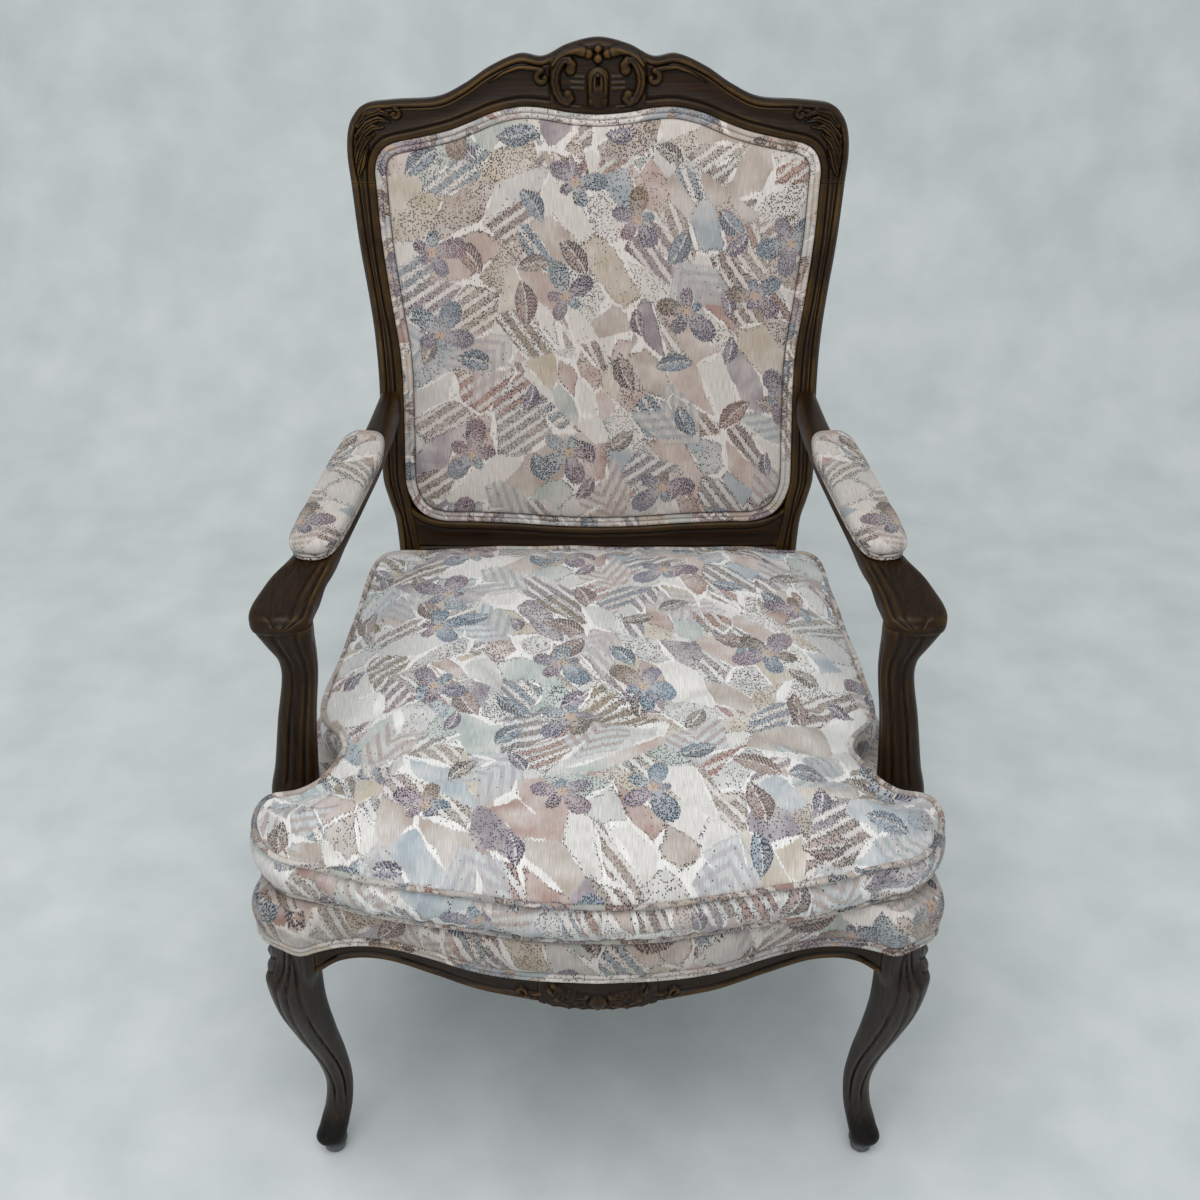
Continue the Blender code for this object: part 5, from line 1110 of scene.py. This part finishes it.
def back_rings(steps):
    """Rings of a piece on the back, from (inset, shrink, forward), with their cloth."""
    rings, cloth = [], []
    for inset, share, forward in steps:
        ring = BACK_MIDDLE + (opening - opening_out * inset - BACK_MIDDLE) * share
        lift = forward(ring) if callable(forward) else np.full(len(ring), forward)
        rings.append(on_back(ring[:, 0], ring[:, 1], lift))
        cloth.append(ring)
    return np.array(rings), np.array(cloth)


def back_dome(share):
    """How far the pad's front stands forward, at points of a ring, with its slack folds."""
    def lift(ring):
        x, rise = ring[:, 0], ring[:, 1]
        crown = 0.0035 + (BACK_CROWN - 0.0035) * (1 - share ** 3.2) ** 0.62
        hollows = 0.0032 * dip(np.hypot(x + 0.03, rise - 0.30),
                               0.11) + 0.0018 * dip(np.hypot(x - 0.13, rise - 0.22), 0.05)
        creases = 0.0011 * np.sin(x * 41 + rise * 23) * np.sin(rise * 31 - x * 9) * (1 - share ** 6)
        return crown - (hollows - creases) * np.clip((1 - share) * 6, 0, 1)
    return lift


shares = np.concatenate([np.linspace(0.995, 0.90, 12), np.linspace(0.88, 0.03, 34)])
points, cloth = back_rings([(0.02, 0.5, PAD_LIP), (0.0006, 1.0, PAD_LIP), (0.0006, 1.0, PAD_LIP + 0.0022),
                            (WELT_WIDTH + 0.0008, 1.0, PAD_LIP + 0.0024), (WELT_WIDTH + 0.0014, 1.0, 0.0)]
                           + [(WELT_WIDTH + 0.0018, share, back_dome(share)) for share in shares])
back_pad = skin("back_pad_stuffed", points, cloth)
finish_cloth(back_pad, shaded_back_cotton, "back_pad")


def back_welt(name, seat, way):
    """Twin welt round the opening, on the front (way 1) or the rear (way -1)."""
    middle = opening - opening_out * (WELT_WIDTH / 2 + 0.0008)
    line = on_back(middle[:, 0], middle[:, 1], seat)
    sideways = on_back(opening_out[:, 0], opening_out[:, 1]) - on_back(0.0, 0.0)
    up = np.broadcast_to(on_back(0.0, 0.0, float(way)) - on_back(0.0, 0.0), line.shape)
    welt = twin_welt(name, line, sideways, up, WELT_WIDTH, WELT_THICK + 0.0006)
    return welt


finish_cloth(back_welt("back_twin_welt", PAD_LIP + 0.0030, 1), shaded_back_cotton, "back_pad_welt")
panel_seat = -BACK_DEPTH - FIT
points, cloth = back_rings([(0.001, 0.05, panel_seat), (0.001, 1.0, panel_seat),
                            (0.001, 1.0, panel_seat - 0.0016)]
                           + [(0.0016, share, panel_seat - PANEL_THICK)
                              for share in (0.998, 0.9, 0.6, 0.3, 0.05)])
panel = skin("outside_back_cloth", points, cloth)
finish_cloth(panel, shaded_back_cotton, "outside_back_panel")
finish_cloth(back_welt("outside_back_twin_welt", panel_seat - 0.0022, -1), shaded_back_cotton, "outside_back_welt")

# Seat deck. Cloth over a thin pad on the webbing, its skirt drawn down over the rails and
# finished with a twin welt where the show-wood begins. Only the skirt is seen.

SKIRT = 0.0046
SKIRT_DROP = 0.0235
DECK_TOP = SEAT_TOP + 0.018
DECK_WELT_WIDTH = 0.0108
DECK_MIDDLE = np.array((0.0, -0.06))
REAR_RAIL_REAR = BACK_FOOT_Y + 0.026

leg_corner = [(0.2835, float(front_y(LEG_INNER_X)) - 0.0045), (0.3010, -0.3155), (0.3170, -0.3055),
              (0.3250, -0.2905)]
half = [(x, float(front_y(x))) for x in np.linspace(0.0, LEG_INNER_X, 12)] + leg_corner
half += [(float(side_x(y)), y) for y in np.linspace(LEG_REAR_Y, BACK_FOOT_Y, 12)]
half += [(float(side_x(BACK_FOOT_Y)) - 0.001, REAR_RAIL_REAR - 0.004),
         (float(side_x(BACK_FOOT_Y)) - 0.006, REAR_RAIL_REAR)]
seat_edge = even([(-x, y) for x, y in reversed(half[1:])] + half + [(0.0, REAR_RAIL_REAR)], 0.005)
seat_out = outward(seat_edge)
seat_run = travelled(seat_edge)


def seat_rings(steps):
    """Rings round the seat from (grow, shrink, height), with the cloth of a skirt or a top."""
    rings, cloth = [], []
    for grow, share, z in steps:
        ring = DECK_MIDDLE + (seat_edge + seat_out * grow - DECK_MIDDLE) * share
        rings.append(np.column_stack([ring, np.full(len(ring), z)]))
        cloth.append(np.column_stack([seat_run, np.full(len(ring), z)]) if share == 1.0 else ring)
    return np.array(rings), np.array(cloth)


skirt_foot = SEAT_TOP - SKIRT_DROP
steps = [(FIT, 0.5, skirt_foot + 0.02), (FIT, 0.98, skirt_foot + 0.02), (FIT, 1.0, skirt_foot),
         (SKIRT, 1.0, skirt_foot)]
for t in np.linspace(0.08, 1.0, 12):
    steps.append((SKIRT + 0.0042 * math.sin(math.pi * t) ** 0.8, 1.0, skirt_foot + t
                  * (DECK_TOP - 0.006 - skirt_foot)))
steps += [(SKIRT - 0.0015, 1.0, DECK_TOP - 0.0025), (SKIRT - 0.006, 1.0, DECK_TOP)]
steps += [(SKIRT - 0.006, share, DECK_TOP) for share in (0.9999, 0.9, 0.6, 0.3, 0.05)]
points, cloth = seat_rings(steps)
ripple = 0.0007 * np.sin(seat_run * 75) + 0.0006 * np.sin(seat_run * 173 + 1.0)
points[4:16, :, :2] += (seat_out * ripple[:, None])[None]
deck = skin("seat_deck_covered", points, cloth)
finish_cloth(deck, shaded_and_worn_cotton, "seat_deck_pad")

middle = seat_edge + seat_out * FIT
line = np.column_stack([middle, np.full(len(middle), skirt_foot - FIT - DECK_WELT_WIDTH / 2)])
front_part = np.flatnonzero(seat_edge[:-1, 1] <= BACK_FOOT_Y - 0.002)
down = np.broadcast_to((0.0, 0.0, -1.0), (len(front_part), 3))
away = np.column_stack([seat_out[front_part], np.zeros(len(front_part))])
welt = twin_welt("seat_deck_twin_welt", line[front_part], down, away, DECK_WELT_WIDTH, WELT_THICK * 1.2)
finish_cloth(welt, shaded_and_worn_cotton, "seat_deck_welt")

# Arm pads. A long stuffed pad on each arm, under the same cotton, with a twin welt at its
# foot. The cloth is drawn tight over the top and gathers a little at its front end.

PAD_REAR_Y = 0.150
PAD_FRONT_Y = -0.087
PAD_HALF = 0.0245
PAD_WELT = 0.0070


def pad_loop(grow, count=110):
    """Plan of the arm pad, a long rounded form along the arm."""
    middle, half_long = (PAD_REAR_Y + PAD_FRONT_Y) / 2, (PAD_REAR_Y - PAD_FRONT_Y) / 2
    ends = smooth(ARM_LINE, np.array((PAD_REAR_Y, PAD_FRONT_Y)))[:, 0]
    run = (ends[0] - ends[1]) / (2 * half_long)
    turn = np.linspace(0, 2 * math.pi, count + 1)
    c, s = np.cos(turn), np.sin(turn)
    u = np.sign(c) * np.abs(c) ** 0.55 * (PAD_HALF + grow)
    v = np.sign(s) * np.abs(s) ** 0.33 * (half_long + grow)
    return np.stack([smooth(ARM_LINE, middle + v)[:, 0] + u, middle + v - u * run], axis=-1)


def finish_cloth_pair(piece, finish, node):
    """Finish a right-hand soft piece and its mirrored copy."""
    for one, side in ((piece, "right"), (other_side(piece), "left")):
        finish_cloth(one, finish, f"{node}_{side}")


pad_seat = ARM_TOP + FIT
rings, cloth = [], []
pad_middle = pad_loop(0.0)[:-1].mean(axis=0)
foot = -WELT_THICK * 1.3
steps = [(0.5, foot, 0.0), (1.0, foot, 0.0), (1.0, foot, 0.0070), (1.0, -0.0014, 0.0086)]
for t in np.linspace(0, 1, 8):
    steps.append((1.0, 0.0012 * math.sin(math.pi * t) - 0.0075 * t ** 2.2,
                  0.0095 + 0.0130 * math.sin(t * math.pi / 2)))
steps += [(s, -0.0075, 0.0225 + 0.0032 * (1 - s ** 2.4)) for s in (0.9, 0.75, 0.58, 0.4, 0.22, 0.06)]
for share, grow, rise in steps:
    ring = pad_middle + (pad_loop(grow) - pad_middle) * share
    lift = np.full(len(ring), pad_seat + rise)
    lift += 0.0007 * np.sin(ring[:, 1] * 160) * ramp(rise, 0.012, 0.008)
    gather = ramp(ring[:, 1], PAD_FRONT_Y + 0.014, -0.010) * ramp(rise, 0.009, 0.004)
    ring = ring + np.column_stack([0 * lift, 0.0013 * gather * np.sin(ring[:, 0] * 620)])
    rings.append(np.column_stack([ring, lift]))
    cloth.append(ring + (ring - pad_middle) * max(0.0, 1.0 - rise / 0.024) * 0.4)
finish_cloth_pair(skin("arm_pad_stuffed_right", rings, cloth), shaded_and_worn_cotton, "arm_pad")
loop = even(pad_loop(foot + FIT)[:-1], 0.0025)
line = np.column_stack([loop, np.full(len(loop), pad_seat + 0.0036)])
upward = np.broadcast_to((0.0, 0.0, 1.0), line.shape)
away = np.column_stack([outward(loop), np.zeros(len(loop))])
welt = twin_welt("arm_pad_twin_welt_right", line, upward, away, PAD_WELT, WELT_THICK)
finish_cloth_pair(welt, shaded_and_worn_cotton, "arm_pad_welt")

# Loose cushion. A foam block in a boxed cotton cover with ears in front of the arm supports,
# piped along both seams. It has been sat on: shallow hollows, folds across the top where
# the cover has stretched, and soiled ears.

# Plan at the welts, right half from the front: (x, y)
CUSHION_PLAN = (
    (0.0, -0.366), (0.055, -0.363), (0.107, -0.353), (0.160, -0.342), (0.211, -0.331),
    (0.260, -0.314), (0.297, -0.302), (0.3185, -0.278), (0.3275, -0.247), (0.3205, -0.220),
    (0.293, -0.211), (0.274, -0.193), (0.262, -0.168), (0.2545, -0.142), (0.262, -0.120),
    (0.280, -0.098), (0.286, -0.070), (0.282, -0.020), (0.274, 0.060), (0.268, 0.140),
    (0.262, 0.205), (0.248, 0.225), (0.205, 0.229), (0.175, 0.234), (0.090, 0.236),
    (0.0, 0.236))
CUSHION_SIDE = 0.050
CUSHION_CROWN = 0.028
CUSHION_MIDDLE = np.array((0.0, -0.16))
CORD = 0.0030
PRESSURE = 4.0
SWELL_CAP = 0.012         # how far the simulation may move the cover
SWELL_FRAMES = 20
BOX_ROWS = 9

edge = even([(-x, y) for x, y in reversed(CUSHION_PLAN[1:])] + list(CUSHION_PLAN[:-1]), 0.0075)
edge_out = outward(edge)
edge_run = travelled(edge)
foot = DECK_TOP + FIT
top = foot + CUSHION_SIDE
rings, cloth = [], []
for share in np.concatenate([[0.05], np.linspace(0.2, 0.96, 8), [0.985]]):
    ring = CUSHION_MIDDLE + (edge - edge_out * 0.010 - CUSHION_MIDDLE) * share
    rings.append(np.column_stack([ring, np.full(len(ring), foot)]))
    cloth.append(ring + (2.0, 0.0))
for k in range(BOX_ROWS + 1):
    t = k / BOX_ROWS
    belly = 0.0075 * math.sin(math.pi * t) ** 0.8 - 0.004 * (1 - t) ** 2
    crease = np.sin(edge_run * 36 + 2 + 2.2 * t) * np.sin(edge_run * 11) * math.sin(math.pi * t)
    ring = edge + edge_out * (belly + 0.0013 * crease)[:, None]
    rise = 0.0025 + (CUSHION_SIDE - 0.0025) * t
    rings.append(np.column_stack([ring, np.full(len(ring), foot + rise)]))
    cloth.append(np.column_stack([edge_run + 4.0, np.full(len(ring), rise)]))
rim = len(rings) - 1
top_shares = np.concatenate([[1.0], np.linspace(0.985, 0.93, 6), np.linspace(0.905, 0.03, 38)])
for share in top_shares:
    ring = CUSHION_MIDDLE + (edge - CUSHION_MIDDLE) * share
    crown = CUSHION_CROWN * (1 - share ** 2.6) ** 0.75
    rings.append(np.column_stack([ring, np.full(len(ring), top + crown)]))
    cloth.append(ring)
cushion = skin("seat_cushion_loose", rings, cloth)


def swell(piece, held, pressure, cap, slack):
    """Blow up a stuffed cover with a cloth simulation, held where its seams and base are."""
    start = points_of(piece)
    group = piece.vertex_groups.new(name="held")
    group.add([int(i) for i in np.flatnonzero(held(start))], 1.0, "REPLACE")
    step = piece.modifiers.new("cover", "CLOTH")
    step.settings.quality = 6
    step.settings.mass = 0.3
    step.settings.tension_stiffness = step.settings.compression_stiffness = 12
    step.settings.shear_stiffness = 5
    step.settings.bending_stiffness = 0.6
    step.settings.vertex_group_mass = "held"
    step.settings.use_pressure = True
    step.settings.uniform_pressure_force = pressure
    step.settings.shrink_min = -slack
    step.settings.effector_weights.gravity = 0
    step.point_cache.frame_start, step.point_cache.frame_end = 1, SWELL_FRAMES
    for frame_number in range(1, SWELL_FRAMES + 1):
        bpy.context.scene.frame_set(frame_number)
    pick(piece)
    bpy.ops.object.modifier_apply(modifier="cover")
    bpy.context.scene.frame_set(1)
    move = points_of(piece) - start
    far = np.linalg.norm(move, axis=1)
    move *= (np.minimum(far, cap) / np.maximum(far, 1e-9))[:, None]
    set_points(piece, start + move)
    piece.vertex_groups.clear()


swell(cushion, lambda p: (p[:, 2] < foot + 0.004) | (np.abs(p[:, 2] - top) < 0.0004), PRESSURE,
      SWELL_CAP, 0.03)

# Where the cover has gone slack: (from, to, half width, depth), in plan
FOLDS = (
    ((-0.135, 0.010), (-0.100, -0.060), (-0.070, -0.125), 0.018, 0.0085),
    ((-0.100, -0.075), (-0.030, -0.110), (0.040, -0.120), 0.014, 0.0065),
    ((0.030, -0.130), (0.090, -0.090), (0.150, -0.070), 0.016, 0.0075),
    ((-0.255, -0.150), (-0.215, -0.175), (-0.160, -0.180), 0.010, 0.0085),
    ((-0.258, -0.165), (-0.225, -0.205), (-0.180, -0.225), 0.009, 0.0070),
    ((-0.262, -0.120), (-0.220, -0.100), (-0.170, -0.105), 0.010, 0.0060),
    ((0.255, -0.150), (0.215, -0.170), (0.165, -0.165), 0.010, 0.0085),
    ((0.258, -0.168), (0.228, -0.210), (0.190, -0.235), 0.009, 0.0070),
    ((0.262, -0.120), (0.222, -0.098), (0.175, -0.100), 0.010, 0.0060),
    ((-0.200, -0.250), (-0.120, -0.262), (-0.040, -0.250), 0.018, 0.0030),
    ((0.070, -0.255), (0.150, -0.250), (0.220, -0.235), 0.016, 0.0030))
HOLLOWS = (((-0.092, -0.055), 0.016, 0.0070), ((0.063, -0.028), 0.016, 0.0070),
           ((0.034, -0.155), 0.018, 0.0060), ((-0.060, -0.160), 0.060, 0.0040),
           ((0.110, 0.080), 0.070, 0.0035), ((-0.120, 0.110), 0.070, 0.0030))
# Spots of soil and painted shade: (centre, reach, amount). The two ears are soiled; the third spot darkens
# the left front corner of the skirt and the cushion's foot there; the last paints shade along the front of
# the cushion's foot and the skirt under it.
SOIL_AND_SHADE_SPOTS = (((0.318, -0.262, top), 0.032, 0.50), ((-0.316, -0.258, top - 0.004), 0.026, 0.45),
          ((-0.30, -0.31, SEAT_TOP), 0.09, 0.35), ((0.0, -0.37, foot), 0.16, 0.25))


def mark_soil_and_shade(piece):
    """Store how soiled and how shaded each point of the cloth is: soiling, and painted shade."""
    points = points_of(piece) - (0, MIDDLE_Y, 0)
    soil_and_shade = np.zeros(len(points))
    for centre, reach, amount in SOIL_AND_SHADE_SPOTS:
        soil_and_shade = np.maximum(soil_and_shade, amount * dip(np.linalg.norm(points - centre, axis=1), reach))
    piece.data.attributes.new("soil_and_shade", "FLOAT", "POINT").data.foreach_set("value", soil_and_shade)


points = points_of(cushion) - (0, MIDDLE_Y, 0)
upper = np.clip((points[:, 2] - top - 0.003) / 0.010, 0, 1)
sink = np.zeros(len(points))
for start, middle, stop, half_width, depth in FOLDS:
    path = even((start, middle, stop), 0.01, closed=False)
    taper = np.sin(np.linspace(0.15, math.pi - 0.15, len(path)))
    lowest = np.zeros(len(points))
    for (x, y), share in zip(path, taper):
        away = np.hypot(points[:, 0] - x, points[:, 1] - y)
        lowest = np.maximum(lowest, share * dip(away, half_width) - 0.35 * share
                            * dip(away - 1.9 * half_width, half_width))
    sink += depth * lowest
for (x, y), reach, depth in HOLLOWS:
    sink += depth * dip(np.hypot(points[:, 0] - x, points[:, 1] - y), reach)
points[:, 2] -= sink * upper
# the boxing is drawn in under the upper piping
inward = CUSHION_MIDDLE - points[:, :2]
inward /= np.maximum(np.linalg.norm(inward, axis=1), 1e-9)[:, None]
points[:, :2] += inward * (0.0034 * dip(points[:, 2] - (top - 0.0058), 0.0032))[:, None]
set_points(cushion, points + (0, MIDDLE_Y, 0))
mark_soil_and_shade(cushion)
mark_soil_and_shade(deck)
finish_cloth(cushion, cotton, "seat_cushion")


def round_welt(name, line, radius, count=12):
    """Single piping of one cord along a closed line."""
    turn = np.linspace(0, 2 * math.pi, count + 1)
    ahead = np.roll(line[:-1], -1, axis=0) - np.roll(line[:-1], 1, axis=0)
    ahead = np.vstack([ahead, ahead[:1]])
    side = np.cross(ahead, (0.0, 0.0, 1.0))
    side /= np.linalg.norm(side, axis=1)[:, None]
    points = (line[:, None, :] + side[:, None, :] * (radius * np.cos(turn))[None, :, None]
              + np.array((0.0, 0.0, 1.0)) * (radius * np.sin(turn))[None, :, None])
    cloth = np.stack(np.broadcast_arrays(travelled(line)[:, None], (turn * radius)[None, :]), axis=-1)
    return skin(name, points, cloth)


piped = even(edge[:-1] + edge_out[:-1] * CORD * 0.6, 0.003)
piped_run = travelled(piped)
for name, z, pull in (("cushion_piping_upper", top, 0.0), ("cushion_piping_lower", foot + CORD, -0.0045)):
    wobble = 0.0009 * np.sin(piped_run * 2 * math.pi * 9 / piped_run[-1]) \
        + 0.0006 * np.sin(piped_run * 2 * math.pi * 23 / piped_run[-1])
    ring = piped + outward(piped) * (pull + wobble[:, None] * 0.4)
    piping = round_welt(name, np.column_stack([ring, z + wobble]), CORD)
    # the piping takes the darker cotton: painted shade along its underside
    finish_cloth(piping, shaded_and_worn_cotton)
    mark_soil_and_shade(piping)

# What stays as packed: raw beech blocks and rear rail, zinc-plated screws, jute webbing,
# black cambric under the seat, and grey plastic glides.

beech, shader, add = new_finish("sawn_beech", Roughness=0.72)
place = add("TexCoord", out="Object")
flecks = add("TexNoise", {"Vector": add("Mapping", {"Vector": place, "Scale": (14.0, 260.0, 260.0)}),
                                 "Scale": 1.0, "Detail": 6.0})
sawn = add("Bump", {"Strength": 0.4, "Distance": 0.0006, "Height": flecks})
drive(shader, Normal=sawn,
      Base_Color=toned(add, flecks, ((0.30, "#6f573b"), (0.50, "#94775a"), (0.72, "#ab9070"))))

zinc, shader, add = new_finish("zinc_plated_steel", Metallic=1.0)
spangle = add("TexNoise", {"Vector": add("TexCoord", out="Object"), "Scale": 700.0, "Detail": 3.0})
drive(shader, Base_Color=toned(add, spangle, ((0.3, "#8d8f90"), (0.7, "#b9bbbc"))),
      Roughness=add("MapRange", {"Value": spangle, 3: 0.32, 4: 0.5}))

jute, shader, add = new_finish("woven_jute_webbing", Roughness=0.92)
place = add("TexCoord", out="Object")
strands = [add("TexWave", {"Vector": place, "Scale": 170.0, "Distortion": 1.5, "Detail": 2.0},
               bands_direction=way) for way in ("X", "Y")]
mesh_weave = add("Math MULTIPLY", (strands[0], strands[1]))
drive(shader, Base_Color=toned(add, mesh_weave, ((0.0, "#6f5836"), (0.6, "#a58a5c"))),
      Normal=add("Bump", {"Strength": 0.6, "Distance": 0.0006, "Height": mesh_weave}))

cambric, shader, add = new_finish("black_cambric", Roughness=0.95)
lint = add("TexNoise", {"Vector": add("TexCoord", out="Object"), "Scale": 900.0, "Detail": 4.0})
drive(shader, Base_Color=toned(add, lint, ((0.35, "#141414"), (0.75, "#2c2b2a"))),
      Normal=add("Bump", {"Strength": 0.5, "Distance": 0.0004, "Height": lint}))

plastic, shader, add = new_finish("grey_moulded_plastic", IOR=1.46)
scuffs = add("TexNoise", {"Vector": add("TexCoord", out="Object"), "Scale": 260.0, "Detail": 6.0})
drive(shader, Base_Color=toned(add, scuffs, ((0.35, "#4a4d50"), (0.7, "#6b6e70"))),
      Roughness=add("MapRange", {"Value": scuffs, 3: 0.38, 4: 0.62}))

for start, finish in (("corner_block", beech), ("seat_rear_rail", beech), ("block_screw", zinc),
                      ("seat_webbing", jute), ("back_webbing", jute), ("dust_cover", cambric),
                      ("glide", plastic)):
    for name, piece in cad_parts.items():
        if name.startswith(start):
            cover(piece, finish)

# The room: a plain pale floor that runs up into a plain wall behind, soft light from above
# and in front, and the camera at standing eye height, looking down at the chair.

EYE_HEIGHT = 1.475
EYE_Y = -1.404
EYE_TILT = math.radians(56.08)
LENS_SHIFT = 2 / 1200     # the chair's middle is two pixels left of the photograph's

bpy.ops.object.select_all(action="DESELECT")
bpy.ops.mesh.primitive_grid_add(x_subdivisions=1, y_subdivisions=40, size=1)
room = bpy.context.object
room.name = room.data.name = "pale_floor"
WALL_Y, WALL_HEIGHT, SWEEP, HALF_WIDTH, REACH = 1.05, 3.0, 0.5, 4.0, 4.5
spots = points_of(room)
t = spots[:, 1] + 0.5
flat_run, arc_run = REACH + WALL_Y, SWEEP * math.pi / 2
run = t * (flat_run + arc_run + WALL_HEIGHT)
turn = np.clip((run - flat_run) / SWEEP, 0, math.pi / 2)
beyond = np.clip(run - flat_run - arc_run, 0, None)
spots[:, 0] *= 2 * HALF_WIDTH
spots[:, 1] = np.minimum(run, flat_run) - REACH + SWEEP * np.sin(turn)
spots[:, 2] = SWEEP * (1 - np.cos(turn)) + beyond
set_points(room, spots)
room.data.shade_smooth()
pale, shader, add = new_finish("pale_floor_paint", Roughness=0.6)
mottle = add("TexNoise", {"Vector": add("TexCoord", out="Object"), "Scale": 9.0, "Detail": 5.0})
drive(shader, Base_Color=toned(add, mottle, ((0.3, "#d4dada"), (0.7, "#e6eae9"))))
room.data.materials.append(pale)

bpy.ops.object.camera_add(location=(0, EYE_Y + MIDDLE_Y, EYE_HEIGHT), rotation=(EYE_TILT, 0, 0))
camera = bpy.context.object
camera.data.lens, camera.data.sensor_width, camera.data.shift_x = 48, 36, LENS_SHIFT
bpy.context.scene.camera = camera

# Name, place, aim, side length and watts
LIGHTS = (
    ("ceiling_light", (-0.25, -1.05, 2.65), (0.40, 0.0, -0.14), 2.0, 36),
    ("front_light", (-0.9, -2.6, 0.8), (1.40, 0.0, -0.32), 1.6, 4))
for name, place, aim, size, watts in LIGHTS:
    bpy.ops.object.light_add(type="AREA", location=place, rotation=aim)
    lamp = bpy.context.object
    lamp.name = lamp.data.name = name
    lamp.data.size, lamp.data.energy = size, watts
world = bpy.data.worlds.new("soft_studio")
world.use_nodes = True
sky = world.node_tree.nodes["Background"].inputs
sky["Color"].default_value, sky["Strength"].default_value = linear("#d8dcdf"), 0.66
bpy.context.scene.world = world
bpy.context.scene.view_settings.view_transform = "Standard"

bpy.context.view_layer.update()
